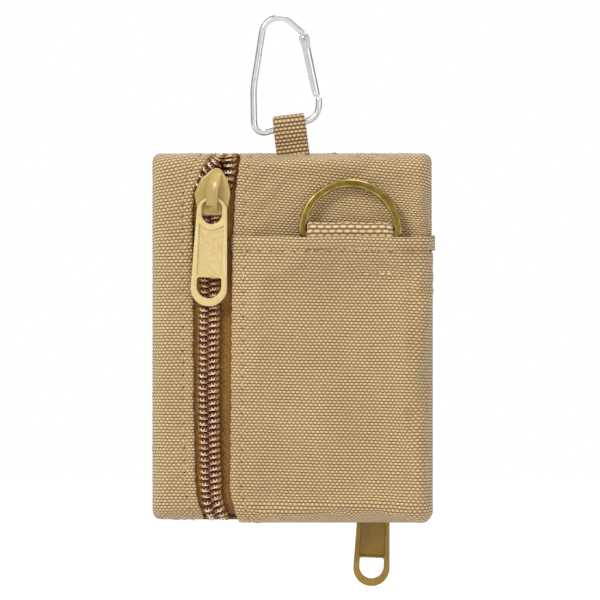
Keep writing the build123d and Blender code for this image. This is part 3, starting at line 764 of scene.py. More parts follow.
# %% Tree that repeats a template along a line
def repeat_tree():
    tree = bpy.data.node_groups.new("repeat_along_line", "GeometryNodeTree")
    face_in = tree.interface
    face_in.new_socket("Geometry", in_out="OUTPUT", socket_type="NodeSocketGeometry")
    for label, kind in (("Line", "Geometry"), ("Template", "Object"), ("Pitch", "Float"), ("Size", "Float"),
                        ("Size variation", "Float"), ("Seed", "Int"), ("Material", "Material")):
        face_in.new_socket(label, in_out="INPUT", socket_type="NodeSocket" + kind)
    n, link = tree.nodes, tree.links.new
    start, end = n.new("NodeGroupInput"), n.new("NodeGroupOutput")
    curve = n.new("GeometryNodeMeshToCurve")
    spaced = n.new("GeometryNodeResampleCurve")
    spaced.mode = "LENGTH"
    tangent = n.new("GeometryNodeInputTangent")
    out = n.new("GeometryNodeInputNamedAttribute")
    out.data_type = "FLOAT_VECTOR"
    out.inputs["Name"].default_value = "out"
    turn = n.new("FunctionNodeAxesToRotation")
    turn.primary_axis, turn.secondary_axis = "Z", "Y"
    template = n.new("GeometryNodeObjectInfo")
    place = n.new("GeometryNodeInstanceOnPoints")
    vary = n.new("FunctionNodeRandomValue")
    vary.data_type = "FLOAT"
    low, high, lowest, highest = (n.new("ShaderNodeMath") for _ in range(4))
    low.operation, high.operation = "SUBTRACT", "ADD"
    lowest.operation = highest.operation = "MULTIPLY"
    low.inputs[0].default_value = high.inputs[0].default_value = 1.0
    real, finish_ = n.new("GeometryNodeRealizeInstances"), n.new("GeometryNodeSetMaterial")
    link(start.outputs["Line"], curve.inputs[0])
    link(curve.outputs[0], spaced.inputs["Curve"])
    link(start.outputs["Pitch"], spaced.inputs["Length"])
    link(spaced.outputs[0], place.inputs["Points"])
    link(start.outputs["Template"], template.inputs["Object"])
    link(template.outputs["Geometry"], place.inputs["Instance"])
    link(tangent.outputs[0], turn.inputs["Primary Axis"])
    link(out.outputs[0], turn.inputs["Secondary Axis"])
    link(turn.outputs[0], place.inputs["Rotation"])
    link(start.outputs["Size variation"], low.inputs[1])
    link(start.outputs["Size variation"], high.inputs[1])
    for near, far, socket in ((low, lowest, 2), (high, highest, 3)):
        link(near.outputs[0], far.inputs[0])
        link(start.outputs["Size"], far.inputs[1])
        link(far.outputs[0], vary.inputs[socket])
    link(start.outputs["Seed"], vary.inputs["Seed"])
    link(vary.outputs[1], place.inputs["Scale"])
    link(place.outputs[0], real.inputs[0])
    link(real.outputs[0], finish_.inputs["Geometry"])
    link(start.outputs["Material"], finish_.inputs["Material"])
    link(finish_.outputs[0], end.inputs[0])
    return tree


repeat = repeat_tree()


def whole_pitches(points, out, pitch):
    """The line cut off after a whole number of pitches, so neighbours keep step."""
    run = np.concatenate([[0], np.cumsum(np.linalg.norm(np.diff(points, axis=0), axis=1))])
    end = (math.floor(run[-1] / pitch) + 1e-4) * pitch
    keep = run < end
    last = [np.array([np.interp(end, run, a[:, k]) for k in range(3)]) for a in (points, out)]
    return np.vstack([points[keep], last[0]]), np.vstack([out[keep], last[1]])


def repeated(name, lines, template, pitch, material, variation=0.0, seed=1):
    """Lines are lists of (points, outward directions). Returns one plain mesh piece."""
    lines = [whole_pitches(p, o, pitch) for p, o in lines]
    points = np.concatenate([p for p, _ in lines])
    edges, first = [], 0
    for p, _ in lines:
        edges += [(first + i, first + i + 1) for i in range(len(p) - 1)]
        first += len(p)
    mesh = bpy.data.meshes.new(name)
    mesh.from_pydata([tuple(x) for x in points * MM], edges, [])
    out = mesh.attributes.new("out", "FLOAT_VECTOR", "POINT")
    out.data.foreach_set("vector", np.concatenate([o for _, o in lines]).astype(np.float32).ravel())
    carrier = bpy.data.objects.new(name + "_line", mesh)
    bpy.context.scene.collection.objects.link(carrier)
    nodes = carrier.modifiers.new("repeat", "NODES")
    nodes.node_group = repeat
    socket = {item.name: item.identifier for item in repeat.interface.items_tree if item.in_out == "INPUT"}
    for label, value in (("Template", template), ("Pitch", pitch * MM), ("Size", 1.0),
                         ("Size variation", variation),
                         ("Seed", seed), ("Material", material.material)):
        nodes[socket[label]] = value
    made = bpy.data.meshes.new_from_object(carrier.evaluated_get(bpy.context.evaluated_depsgraph_get()))
    made.name = name
    bpy.data.objects.remove(carrier)
    made.polygons.foreach_set("use_smooth", [True] * len(made.polygons))
    piece = bpy.data.objects.new(name, made)
    bpy.context.scene.collection.objects.link(piece)
    print(name, len(made.polygons), "faces")
    return piece


def template_piece(name, points, faces):
    piece = new_piece(name, points, faces, nylon.material)
    piece.hide_render = True
    return piece

# %% [markdown]
# One turn of the coil: the filament comes up at the outer edge, crosses to the chain's middle
# on top, makes its rounded head there and goes back underneath to where the next turn starts.
# The left row is the right row's mirror image, half a pitch along.

# %% Coil rows
PITCH = 2.04
TURN = [(3.20, -0.40, -1.02, 0.30), (3.45, 0.05, -0.86, 0.30), (3.0, 0.42, -0.66, 0.33),
        (2.0, 0.50, -0.42, 0.36),
        (1.0, 0.52, -0.18, 0.40), (0.1, 0.46, -0.04, 0.46), (-0.56, 0.22, 0.0, 0.50),
        (-0.62, -0.12, 0.03, 0.48),
        (-0.20, -0.30, 0.08, 0.42), (0.8, 0.0, 0.28, 0.36), (2.1, 0.16, 0.56, 0.33), (3.1, 0.05, 0.78, 0.30),
        (3.45, -0.15, 0.92, 0.30), (3.20, -0.40, 1.02, 0.30)]


def tube(line, radii, sides=6):
    ring = ring_section(1.0, sides)
    return rod(line, np.array(radii)[:, None, None] * ring[None], normal=(0.03, 0.2, 1.0))


def coil_template(side):
    # template axes: X across, Y outward, Z along the zip
    t = np.array(TURN)
    line = t[:, :3] * [side, 1, 1]
    return template_piece(f"coil_turn_{side}", *tube(line, t[:, 3]))


def along_zip(side, inset, offset=0.0, start=0.0, step=0.5, low=None, high=None):
    """The line of one row as points with outward directions."""
    t = np.arange((low or 1.2) + start, high or (cloth_height - 1.2), step)
    z = along(t, bottom, cloth_height)[0]
    points, out = body_skin(cloth_at(row_line(z, side) + offset), t, -inset)
    return points, out


coils, cores, sewing, bound, painted_gap_shades = {}, {}, {}, {}, {}
turns = {side: coil_template(side) for side in (-1, 1)}
# the sewing lies on top of each turn: a pale V of thread, and an ochre hump outside it where
# the edge of the coil is bound. A pale tail from the V to the middle is no thread but a painted
# highlight along the top of the nylon leg
pale_v = np.array([(-3.0, 0.50, 0.36), (-2.95, 0.72, 0.02), (-2.78, 0.84, -0.34), (-2.42, 0.88, -0.50),
                   (-2.10, 0.84, -0.34),
                   (-1.92, 0.74, 0.0), (-1.86, 0.52, 0.30)])
# not thread: a painted highlight along the top of the nylon leg, in the pale colour
painted_leg_highlight = np.array([(-2.3, 0.78, -0.50), (-1.5, 0.72, -0.56), (-0.75, 0.60, -0.52)])
V_CENTRE = {-1: 0.0, 1: -1.05}


def sewing_template(side, turned):
    shapes = []
    for line, radii in ((pale_v, [0.20, 0.29, 0.33, 0.34, 0.30, 0.25, 0.17]),
                        (painted_leg_highlight, [0.24, 0.20, 0.14])):
        line = line.copy()
        line[:, 0] = (line[:, 0] * -side + V_CENTRE[side]) * turned
        shapes.append(tube(line, radii, 5))
    return template_piece(f"sewing_{side}_{turned}", *joined(shapes))


def binding_template(side, turned):
    low_x, high_x = (2.2, 3.3) if side > 0 else (3.35, 3.7)
    line = np.array([(side * low_x, 0.50, -0.75), (side * (low_x + high_x) / 2, 0.74, -0.1),
                     (side * high_x, 0.42, 0.62)])
    line[:, 0] *= turned
    return template_piece(f"binding_{side}_{turned}",
                          *tube(line, [0.36, 0.56, 0.34] if side > 0 else [0.2, 0.34, 0.2], 6))


for side, word in ((-1, "left"), (1, "right")):
    points, out = along_zip(side, CHAIN_MID, start=PITCH / 2 if side > 0 else 0.0)
    # a template's Z runs along the line and its Y outward: on the front its X points left,
    # and on the back, where the line runs down, it still does
    core_points, core_out = along_zip(side, CHAIN_MID, offset=side * 2.0, step=1.5)
    for face_word in ("front", "back"):
        p, o, cp = (points, out, core_points) if face_word == "front" else (turned_over(points), -out,
                                                                            turned_over(core_points))
        turned = -1 if face_word == "front" else 1
        sew, bind = sewing_template(side, turned), binding_template(side, turned)
        if side > 0:
            # dark tubes of painted shade in the holes and gaps beside the right row's turns, not a part of the
            # zip
            painted_shade_gap = template_piece(f"gap_{turned}",
                                 *tube(np.array([(3.80 * turned, 0.05, 0.10), (3.88 * turned, 0.32, 0.46),
                                                 (3.82 * turned, 0.05, 0.82)]),
                                                        [0.28, 0.46, 0.28], 6))
            painted_gap_shades[face_word] = repeated(f"{face_word}_coil_gaps", [(p, o)], painted_shade_gap, PITCH, gap_shade, 0.12, 6)
        coils[face_word, word] = repeated(f"{face_word}_coil_{word}", [(p, o)], turns[side * turned], PITCH,
                                          nylon)
        sewing[face_word, word] = repeated(f"{face_word}_coil_sewing_{word}", [(p, o)], sew, PITCH,
                                           pale_thread, 0.05, 3)
        bound[face_word, word] = repeated(f"{face_word}_coil_binding_{word}", [(p, o)], bind, PITCH,
                                          ochre_thread, 0.05, 4)
        co, fa = rod(cp, ring_section(1.0, 8) * [0.75, 0.34],
                     turn=core_out if face_word == "front" else -core_out)
        cores[face_word, word] = new_piece(f"{face_word}_coil_core_{word}", co, fa, cord_core.material)

# %% [markdown]
# Stitches are short humps of thread. Their template has a few dozen faces, and its ends dip
# below the cloth, so that each one reads as thread going down a needle hole. The needle holes
# along the front stitching are dark blobs of painted shade.

# %% Rows of stitching
def stitch_template(name, length, radius=0.24):
    a = np.linspace(-1, 1, 7)
    line = np.stack([0 * a, 0.30 - 0.55 * np.abs(a) ** 3, a * length / 2], 1)
    return template_piece(name, *tube(line, radius * (1 - 0.35 * np.abs(a) ** 4), 6))


def grid_line(grid, flat, t_low, t_high, edge, inset):
    """Points on a cloth grid at a constant distance from its folded edge."""
    cells = edge
    points = []
    for i in range(len(grid)):
        if not t_low <= flat[i, 0, 1] <= t_high:
            continue
        s = flat[i, :cells, 0]
        target = s[-1] + (inset if s[0] > s[-1] else -inset)
        order = np.argsort(s)
        points.append([np.interp(target, s[order], grid[i, :cells, k][order]) for k in range(3)])
    points = np.array(points)
    return points


def outs_of(points, sign=-1.0):
    """Outward directions of a line down the face."""
    d = np.gradient(points, axis=0)
    out = np.stack([0 * d[:, 0], -d[:, 2], d[:, 1]], 1)
    out /= np.linalg.norm(out, axis=1)[:, None]
    return out * np.where(out[:, 1:2] * sign >= -0.2, 1.0, -1.0)


long_stitch = stitch_template("stitch_long", 3.3, 0.20)
# dark blobs of painted shade in the needle holes along the front stitching
needle_hole = template_piece("needle_hole", *tube([(0.16, -0.1, -0.34), (0.08, 0.05, -0.16), (0, 0.08, 0),
                                                   (-0.08, 0.05, 0.16), (-0.16, -0.1, 0.34)],
                                                  [0.06, 0.24, 0.30, 0.24, 0.06], 6))
strip_line = grid_line(strip_grid, strip_flat, 3.0, cloth_height - 3.0, 26, STITCH_IN)
panel_line = grid_line(panel_grid, panel_flat, hem_t + 1.5, cloth_height - 3.0, 84, STITCH_IN)
panel_full = grid_line(panel_grid, panel_flat, 3.0, cloth_height - 3.0, 84, STITCH_IN)
pocket_line = grid_line(pocket_grid[:118], pocket_flat[:118], 3.0, hem_t - 1.0, 80, STITCH_IN)
hem_row = int(np.argmin(np.abs(pocket_flat[:118, 0, 1] - (hem_t - HEM))))
hem_line = pocket_grid[hem_row, 3:79][::-1]
sink = np.array([0, 0.22, 0])
front_lines = [(p + sink, outs_of(p)) for p in (strip_line, panel_line, pocket_line)]
front_lines.append((hem_line + np.array([0, 0.12, 0]), np.tile([0.0, -1, 0], (len(hem_line), 1))))
front_stitches = repeated("front_stitches", front_lines, long_stitch, STITCH_PITCH, khaki_thread, 0.06, 5)
half_on = [(p[3:] - s_ * [0, 0.12, 0], o[3:]) for (p, o), s_ in zip(front_lines, (1, 1, 1, 1))]
front_hole_shades = repeated("front_needle_holes", half_on, needle_hole, STITCH_PITCH, hole_shade, 0.15, 8)
back_lines = [(turned_over(p) - sink, -outs_of(p)) for p in (strip_line, panel_full)]
back_stitches = repeated("back_stitches", back_lines, long_stitch, STITCH_PITCH, khaki_thread, 0.06, 6)

# %% [markdown]
# The slider is one small casting: a teardrop top plate, a lower plate, two flanges that hold
# the chain between them, a post that parts the rows and a crown that holds the pull. The
# plates are stacked outlines with rounded rims, and the crown is a loft of sections whose
# left flank melts into the plate while its right side stays steep.

# %% Slider
shoulder_z = slider_high[2] - 8.8
SLIDER_OUTLINE = [(0.3, 6.1, 2.7), (-1.15, 3.0, 3.9), (1.1, 3.0, 3.9), (-3.55, -0.2, 2.6),
                  (3.55, -0.2, 2.6), (-3.9, -6.3, 1.0), (3.9, -6.3, 1.0)]
plate_out = 9.12


def pressed(outline, directions, rings):
    """A closed plate from one outline. rings are (inset, share of width, distance outwards)."""
    centre = (outline.max(0) + outline.min(0)) / 2
    points = []
    for inset, share, out in rings:
        ring = centre + (outline - directions * inset - centre) * share
        points += [(x, -out, z) for x, z in ring]
    n = len(outline)
    faces = capped_faces(len(rings), n)
    return np.array(points), outward(points, faces)


def bulge(v, knots):
    a, b = np.array(sorted(knots), float).T
    return np.interp(v, a, b)


def slider_shapes():
    outline, directions = hull_of(SLIDER_OUTLINE, 0.35)
    rim = [(0.7, 1, plate_out), (0.15, 1, plate_out + 0.1), (0, 1, plate_out + 0.4), (0, 1, plate_out + 0.75),
           (0.12, 1, plate_out + 1.0), (0.4, 1, plate_out + 1.2), (0.8, 1, plate_out + 1.29),
           (0.8, 0.75, plate_out + 1.34),
           (0.8, 0.4, plate_out + 1.38), (0.8, 0.1, plate_out + 1.4)]
    parts = [pressed(outline, directions, rim)]
    parts.append(pressed(outline, directions, [(0.8, 0.5, 5.32), (0.5, 1, 5.32), (0.1, 1, 5.45),
                                               (0, 1, 5.8), (0.1, 1, 6.3), (0.6, 1, 6.38)]))
    for side in (-1, 1):
        keep = outline[:, 0] * side > 3.76
        wall = outline[keep] - directions[keep] * 0.1
        order = np.argsort(wall[:, 1])
        wall = wall[order]
        inner = np.stack([np.full(len(wall), side * 3.76), wall[:, 1]], 1)
        ring = np.vstack([wall, inner[::-1]])
        points = [(x, -out, z) for out in (7.32, plate_out + 0.2) for x, z in ring]
        n = len(ring)
        faces = capped_faces(2, n)
        parts.append((np.array(points), outward(points, faces)))
    post = [(0.2, 3.4, 0.8), (0.3, 6.6, 0.8)]
    o, d = hull_of(post, 0.4)
    parts.append(pressed(o, d, [(0, 1, 5.5), (0, 1, plate_out + 0.3)]))
    # crown: sections from the nose to the tail
    stations = np.array([7.5, 7.0, 6.3, 5.4, 4.4, 3.4, 2.6, 2.2, 2.1, 1.4, 0.4, -0.8, -2.0, -3.0, -3.8,
                         -4.1, -4.15, -4.8, -5.5, -6.2, -6.7])
    crest = bulge(stations, [(7.5, 10.1), (7.0, 10.75), (6.3, 11.4), (5.4, 12.1), (4.4, 12.75), (3.4, 13.2),
                             (2.4, 13.45),
                             (1.0, 13.58), (-2.2, 13.6), (-3.0, 13.45), (-4.15, 12.75), (-5.5, 11.6),
                             (-6.7, 10.2)])
    under = np.where((stations < 2.15) & (stations > -4.12), 12.33, 10.2)
    under = np.minimum(under, crest - 0.25)
    right_x = bulge(stations, [(7.5, 1.5), (6.3, 2.3), (4.4, 2.2), (1.5, 2.0), (-1, 1.85), (-6.7, 1.6)])
    left_x = bulge(stations, [(7.5, -1.0), (6.3, -1.9), (4.4, -2.5), (2.2, -2.5), (1.2, -2.3), (-1, -2.15),
                              (-6.7, -2.1)])
    rings = []
    for v, c, u, a, b in zip(stations, crest, under, left_x, right_x):
        w = b - a
        h = c - u
        top_line = [(a, u), (a + 0.08 * w, u + h * 0.34), (a + 0.26 * w, u + h * 0.62),
                    (a + 0.46 * w, u + h * 0.84),
                    (a + 0.66 * w, c - 0.05 * h), (a + 0.84 * w, c), (a + 0.95 * w, c - 0.04),
                    (b, c - min(0.35, h * 0.3)), (b, u)]
        under_line = [(a + k * w, u) for k in (0.8, 0.6, 0.4, 0.2)]
        rings.append([(x, -y, v) for x, y in top_line + under_line])
    rings = np.array(rings)
    k = rings.shape[1]
    faces = capped_faces(len(rings), k)
    parts.append((rings.reshape(-1, 3), outward(rings.reshape(-1, 3), faces)))
    points, faces = joined(parts)
    points[:, 0] += 0.12 * np.maximum(points[:, 2], 0)
    return points, faces


slider_points, slider_faces = slider_shapes()
front_slider = new_piece("front_zip_slider", slider_points + [zip_x, 0, shoulder_z], slider_faces,
                         slider_enamel.material, sharp=50)
back_slider = new_piece("back_zip_slider", 2 * middle - (slider_points + [zip_x, 0,
                                                                          shoulder_z])
                        + [0, 0, box_mm("back_slider")[0][2] - (2 * middle[2] - slider_high[2])],
                        [tuple(reversed(f)) for f in slider_faces], olive_enamel.material, sharp=50)
print("slider shoulders at", round(shoulder_z, 2))

# %% [markdown]
# Each pull is a long flat casting with a ring at its top, a grainy recessed panel and a slot
# through its round end. It is drawn as flat outlines, given thickness with a soft rim, and
# the recess is then sunk with a cutter that has sloping sides.

# %% Pulls
PULL = 37.2
THICK = 1.6


def outline_curve(name, loops, half, rim):
    curve = bpy.data.curves.new(name, "CURVE")
    curve.dimensions, curve.fill_mode = "2D", "BOTH"
    curve.extrude, curve.bevel_depth, curve.bevel_resolution = half - rim, rim, 2
    curve.offset = -rim
    for loop in loops:
        spline = curve.splines.new("POLY")
        spline.points.add(len(loop) - 1)
        spline.points.foreach_set("co", np.hstack([loop, np.zeros((len(loop), 1)),
                                                   np.ones((len(loop), 1))]).ravel())
        spline.use_cyclic_u = True
    made = bpy.data.objects.new(name, curve)
    bpy.context.scene.collection.objects.link(made)
    mesh = bpy.data.meshes.new_from_object(made.evaluated_get(bpy.context.evaluated_depsgraph_get()))
    bpy.data.objects.remove(made)
    points = np.empty(len(mesh.vertices) * 3)
    mesh.vertices.foreach_get("co", points)
    faces = [tuple(p.vertices) for p in mesh.polygons]
    return points.reshape(-1, 3), faces


def welded(points, faces, limit=0.002):
    keys, index, kept = {}, [], []
    for p in points:
        key = tuple(np.round(p / limit).astype(int))
        if key not in keys:
            keys[key] = len(kept)
            kept.append(p)
        index.append(keys[key])
    clean = []
    for f in faces:
        g = [index[i] for i in f]
        g = [a for k, a in enumerate(g) if a != g[k - 1]]
        if len(g) > 2:
            clean.append(tuple(g))
    return np.array(kept), clean


def pull_shapes():
    z0 = THICK / 2
    end = z0 - PULL
    outer, _ = hull_of([(0, z0 - 5.2, 5.2), (-4.7, -9.6, 0.6), (4.7, -9.6, 0.6), (0, end + 6.2, 6.2)], 0.4)
    eye, _ = hull_of([(-1.3, -2.95, 2.2), (1.3, -2.95, 2.2), (0, -4.2, 3.45), (0, -4.95, 3.45)], 0.4)
    low_arc = [(3.4 * math.cos(a), -29.5 + 3.4 * math.sin(a), 0.75) for a in np.linspace(-math.pi, 0, 13)]
    hole, _ = hull_of([(-3.3, -27.5, 0.85), (3.3, -27.5, 0.85)] + low_arc, 0.35)
    points, faces = welded(*outline_curve("pull_plate", [outer, eye, hole], THICK / 2, 0.42))
    plate = np.stack([points[:, 0], points[:, 2], points[:, 1]], 1)
    plate_piece = new_piece("pull_plate", plate, outward(plate, faces), pale_enamel.material)
    a = np.linspace(math.radians(222), math.radians(318), 15)
    top_arc = np.stack([5.6 * np.cos(a), -4.9 + 5.4 * np.sin(a)], 1)
    recess = np.vstack([top_arc, [(4.25, -20.0), (4.3, -26.0), (-4.3, -26.0), (-4.25, -20.0)]])
    recess = even(recess, 0.4, closed=True)
    centre = recess.mean(0)
    deep = THICK * 0.34
    rings = [(1.05, -THICK / 2 - 0.4), (1.03, -THICK / 2), (0.975, deep * 0.55 - THICK / 2),
             (0.955, deep * 0.93 - THICK / 2), (0.93, deep - THICK / 2)]
    points = [((centre + (r - centre) * k)[0], y, (centre + (r - centre) * k)[1]) for k,
              y in rings for r in recess]
    n = len(recess)
    faces = capped_faces(len(rings), n)
    points, other = np.array(points), np.array(points) * [1, -1, 1]
    points, faces = joined([(points, outward(points, faces)), (other, outward(other, faces))])
    cutter = new_piece("pull_recess_cutter", points, faces, recess_grain.material)
    sink_ = plate_piece.modifiers.new("recess", "BOOLEAN")
    sink_.operation, sink_.solver, sink_.object = "DIFFERENCE", "EXACT", cutter
    sink_.material_mode = "TRANSFER"
    mesh = bpy.data.meshes.new_from_object(plate_piece.evaluated_get(bpy.context.evaluated_depsgraph_get()))
    for piece in (plate_piece, cutter):
        bpy.data.objects.remove(piece)
    points = np.empty(len(mesh.vertices) * 3)
    mesh.vertices.foreach_get("co", points)
    shape, faces = points.reshape(-1, 3) / MM, [tuple(p.vertices) for p in mesh.polygons]
    grain = [p.material_index for p in mesh.polygons]
    # a round bar closes the top of the ring, inside the slider's crown
    bar_points, bar_faces = rod([(-2.0, 0, 0), (2.0, 0, 0)], ring_section(0.74, 14))
    first = len(shape)
    shape = np.vstack([shape, bar_points])
    faces += [tuple(i + first for i in f) for f in bar_faces]
    return shape, faces, grain + [0] * len(bar_faces)


pull_points, pull_faces, pull_grain = pull_shapes()
tilt = math.radians(2.3)


def hang(points, pivot, back):
    p = points * [-1, -1, 1] if back else points
    x = p[:, 0] * math.cos(tilt) + p[:, 2] * math.sin(tilt)
    z = -p[:, 0] * math.sin(tilt) + p[:, 2] * math.cos(tilt)
    return np.stack([x, p[:, 1], z], 1) + pivot


def pull_piece(name, pivot, back, materials):
    piece = new_piece(name, hang(pull_points, pivot, back), pull_faces, materials[0], sharp=38)
    piece.data.materials.append(materials[1])
    piece.data.polygons.foreach_set("material_index", pull_grain)
    return piece


front_pull = pull_piece("front_zip_pull", point["front_pull_pivot"], False,
                        (pale_enamel.material, recess_grain.material))
PULL_PLAY = np.array([1.3, 0, 0])      # the back pull has slid along its bar
back_pull = pull_piece("back_zip_pull", point["back_pull_pivot"] + PULL_PLAY, True,
                       (olive_enamel.material, olive_cast.material))
print("pull", len(front_pull.data.polygons), "faces")

# %% [markdown]
# The ring is one bar of bevelled section bent to a D, with its flat side inside the keeper.
# Carrying an eight-sided section round the D gives the crisp bevels. They are marked with a
# "worn" attribute, which the brass reads to show bright metal where the skin has rubbed off.

# %% D ring
ring_low, ring_high = box_mm("d_ring")
ring_half = (ring_high[0] - ring_low[0]) / 2
BAND, RING_THICK, BEVEL = 2.9, 2.0, 0.62
lean = math.radians(5.19)
mid_radius = ring_half - BAND / 2
corner, rise = 0.8, 1.5
arc = np.linspace(0, np.pi, 97)
quarter = np.linspace(-np.pi / 2, 0, 7)[:-1]
ring_line = np.vstack([
    np.stack([np.linspace(0, mid_radius - corner, 10), np.zeros(10)], 1),
    np.stack([mid_radius - corner + corner * np.cos(quarter), corner + corner * np.sin(quarter)], 1)[1:],
    np.stack([mid_radius * np.cos(arc), rise + mid_radius * np.sin(arc)], 1)])
ring_line = np.vstack([ring_line, (ring_line[1:10] * [-1, 1])[::-1]])
w, h, b = BAND / 2, RING_THICK / 2, BEVEL
octagon = [(w, h - b), (w - b, h), (b - w, h), (-w, h - b), (-w, b - h), (b - w, -h), (w - b, -h), (w, b - h)]
soft = []
for k in range(8):
    p0, p1 = np.array(octagon[k]), np.array(octagon[(k + 1) % 8])
    step = 0.09 / np.linalg.norm(p1 - p0)
    soft += [p0 + (p1 - p0) * step, p1 - (p1 - p0) * step]
ring_line = even(ring_line, 0.55, closed=True)
line3 = np.stack([ring_line[:, 0], 0 * ring_line[:, 0], ring_line[:, 1]], 1)
ring_points, ring_faces = rod(line3, soft, closed=True)
y, z = ring_points[:, 1].copy(), ring_points[:, 2].copy()
ring_points[:, 1] = y * math.cos(lean) + z * math.sin(lean)
ring_points[:, 2] = -y * math.sin(lean) + z * math.cos(lean)
d_ring = new_piece("brass_d_ring", ring_points + bar, ring_faces, brass.material)
worn_at = d_ring.data.attributes.new("worn", "FLOAT", "POINT")
on_bevel = np.tile([0.95 if (k // 2) % 2 == 0 else 0.12 for k in range(16)], len(ring_line))
rub = 0.55 + 0.6 * wander(ring_points[:, 0], ring_points[:, 2], 2.4, 6.0)
worn_at.data.foreach_set("value", (on_bevel * rub.clip(0.25, 1)).astype(np.float32))
print("ring", round(2 * ring_half, 1), "mm wide,", len(ring_faces), "faces")

# %% [markdown]
# Keeper and hang loop are flat webbing, so each is modelled directly as a ribbon: a side
# profile with thickness, carried across its width. The keeper wraps the ring's bar and runs
# down behind the pocket. The loop wraps the hook's wire, and its legs enter the top seam.

# %% Webbing ribbons
def ribbon(profile, thick, width, cells, sag):
    """profile is a line of (out, z). Returns a closed ribbon, its faces and its cloth sizes."""
    line = even(profile, 0.5)
    d = np.gradient(line, axis=0)
    d /= np.linalg.norm(d, axis=1)[:, None]
    side = np.stack([d[:, 1], -d[:, 0]], 1)
    s = np.concatenate([[0], np.cumsum(np.linalg.norm(np.diff(line, axis=0), axis=1))])
    xs = np.linspace(-width / 2, width / 2, cells)
    ends = np.minimum(xs + width / 2, width / 2 - xs)
    full = np.sqrt(np.clip(1 - (1 - np.clip(ends / (thick / 2), 0, 1)) ** 2, 0.02, 1))
    points, uv = [], []
    for sign in (1, -1):
        for p, n, along_ in zip(line, side, s):
            for x, f in zip(xs, full):
                off = sag(x, along_)
                a, z = p + n * (sign * thick / 2 * f) + np.array(off)
                points.append((x, -a, z))
                uv.append((x + 50, along_ + 50))
    r = len(line)
    outer, inner = sheet_faces(r, cells), sheet_faces(r, cells, flip=True, first=r * cells)
    rim = []
    for i in range(r - 1):
        for j in (0, cells - 1):
            q = (i * cells + j, (i + 1) * cells + j, r * cells + (i + 1) * cells + j,
                 r * cells + i * cells + j)
            rim.append(q if j == 0 else q[::-1])
    for j in range(cells - 1):
        for i in (0, r - 1):
            q = (i * cells + j, r * cells + i * cells + j, r * cells + i * cells + j + 1, i * cells + j + 1)
            rim.append(q if i == 0 else q[::-1])
    faces = outer + inner + rim
    return np.array(points), outward(points, faces), np.array(uv)


def arc_points(centre, radius, start, stop, count=14):
    a = np.radians(np.linspace(start, stop, count))
    return [(centre[0] + radius * math.cos(k), centre[1] + radius * math.sin(k)) for k in a]


WEB = 1.2
bar_out = -bar[1]
wrap = keeper_high[2] - bar[2]
keeper_r = bar_out - face - 0.06 - WEB / 2
rise = wrap - keeper_r - WEB / 2
keeper_profile = ([(face + 0.08 + WEB / 2, keeper_low[2] + 0.6), (face + 0.08 + WEB / 2, bar[2] - 3)]
                  + arc_points((bar_out, bar[2] + rise), keeper_r, 180, 0)
                  + [(bar_out + keeper_r, bar[2] - 0.3), (bar_out + keeper_r - 0.7, bar[2] - 1.9),
                     (bar_out + 0.4, bar[2] - 3.3),
                     (face + 0.08 + 1.62 * WEB, bar[2] - 5.2),
                     (face + 0.08 + 1.56 * WEB, keeper_low[2] + 0.6)])


def keeper_sag(x, s):
    high = 0.28 * noise.noise(Vector((x / 7.0, 1.7, 0))) - 0.9 * max(0.0, (x - 10.5) / 4.0) ** 2
    share = math.exp(-((s - 16.5) / 5.0) ** 2)
    return (0.12 * noise.noise(Vector((x / 5.0, s / 5.0, 2.0))), high * share)


keeper_width = keeper_high[0] - keeper_low[0]
kp, kf, kuv = ribbon(keeper_profile, WEB, keeper_width, 44, keeper_sag)
keeper = new_piece("ring_keeper_webbing", kp + [bar[0], 0, 0], kf, keeper_webbing.material, uv=kuv[:, [1, 0]])

wire_point = point["pouch_swing"]
LOOP_WIDTH, LOOP_WEB = 11.2, 1.2
loop_tilt = math.radians(7.1)
bend_r = 1.05 + 0.3 + LOOP_WEB / 2
peak = 3.9 - bend_r - LOOP_WEB / 2
seam = top - wire_point[2]
loop_profile = ([(LOOP_WEB * 0.52, seam - 4.2), (LOOP_WEB * 0.52, seam + 1.0),
                 (LOOP_WEB * 0.62, seam + 3.4), (bend_r - 0.15, seam + 6.4)]
                + arc_points((0, peak), bend_r, 0, 180)
                + [(0.15 - bend_r, seam + 6.4), (-LOOP_WEB * 0.62, seam + 3.4),
                   (-LOOP_WEB * 0.52, seam + 1.0), (-LOOP_WEB * 0.52, seam - 4.2)])
lp, lf, luv = ribbon(loop_profile, LOOP_WEB, LOOP_WIDTH, 26, lambda x,
                     s: (0.10 * noise.noise(Vector((x / 4.0, s / 4.0, 5.0))), 0.0))
x, z = lp[:, 0].copy(), lp[:, 2].copy()
x = x * (1 - 0.035 * np.clip((z + 2) / 6, 0, 1))
lp[:, 0] = x * math.cos(loop_tilt) - z * math.sin(loop_tilt)
lp[:, 2] = x * math.sin(loop_tilt) + z * math.cos(loop_tilt)
lp[:, 0] = x * math.cos(loop_tilt) - z * math.sin(loop_tilt) * 1.0
hang_loop = new_piece("hang_loop_webbing", lp + wire_point, lf, loop_webbing.material, uv=luv[:, [1, 0]])
print("keeper", round(keeper_width, 1), "mm wide, loop", LOOP_WIDTH, "mm wide")

# %% [markdown]
# The snap hook is one piece of aluminium wire bent round and closed by a spring gate. The
# wire's line is a polygon with rounded corners, and a round section follows it. The gate is
# a turned rod with a fork at its top for the hook's flat tab.

# %% Snap hook
gate_at = point["gate_pivot"]
WIRE = 2.1


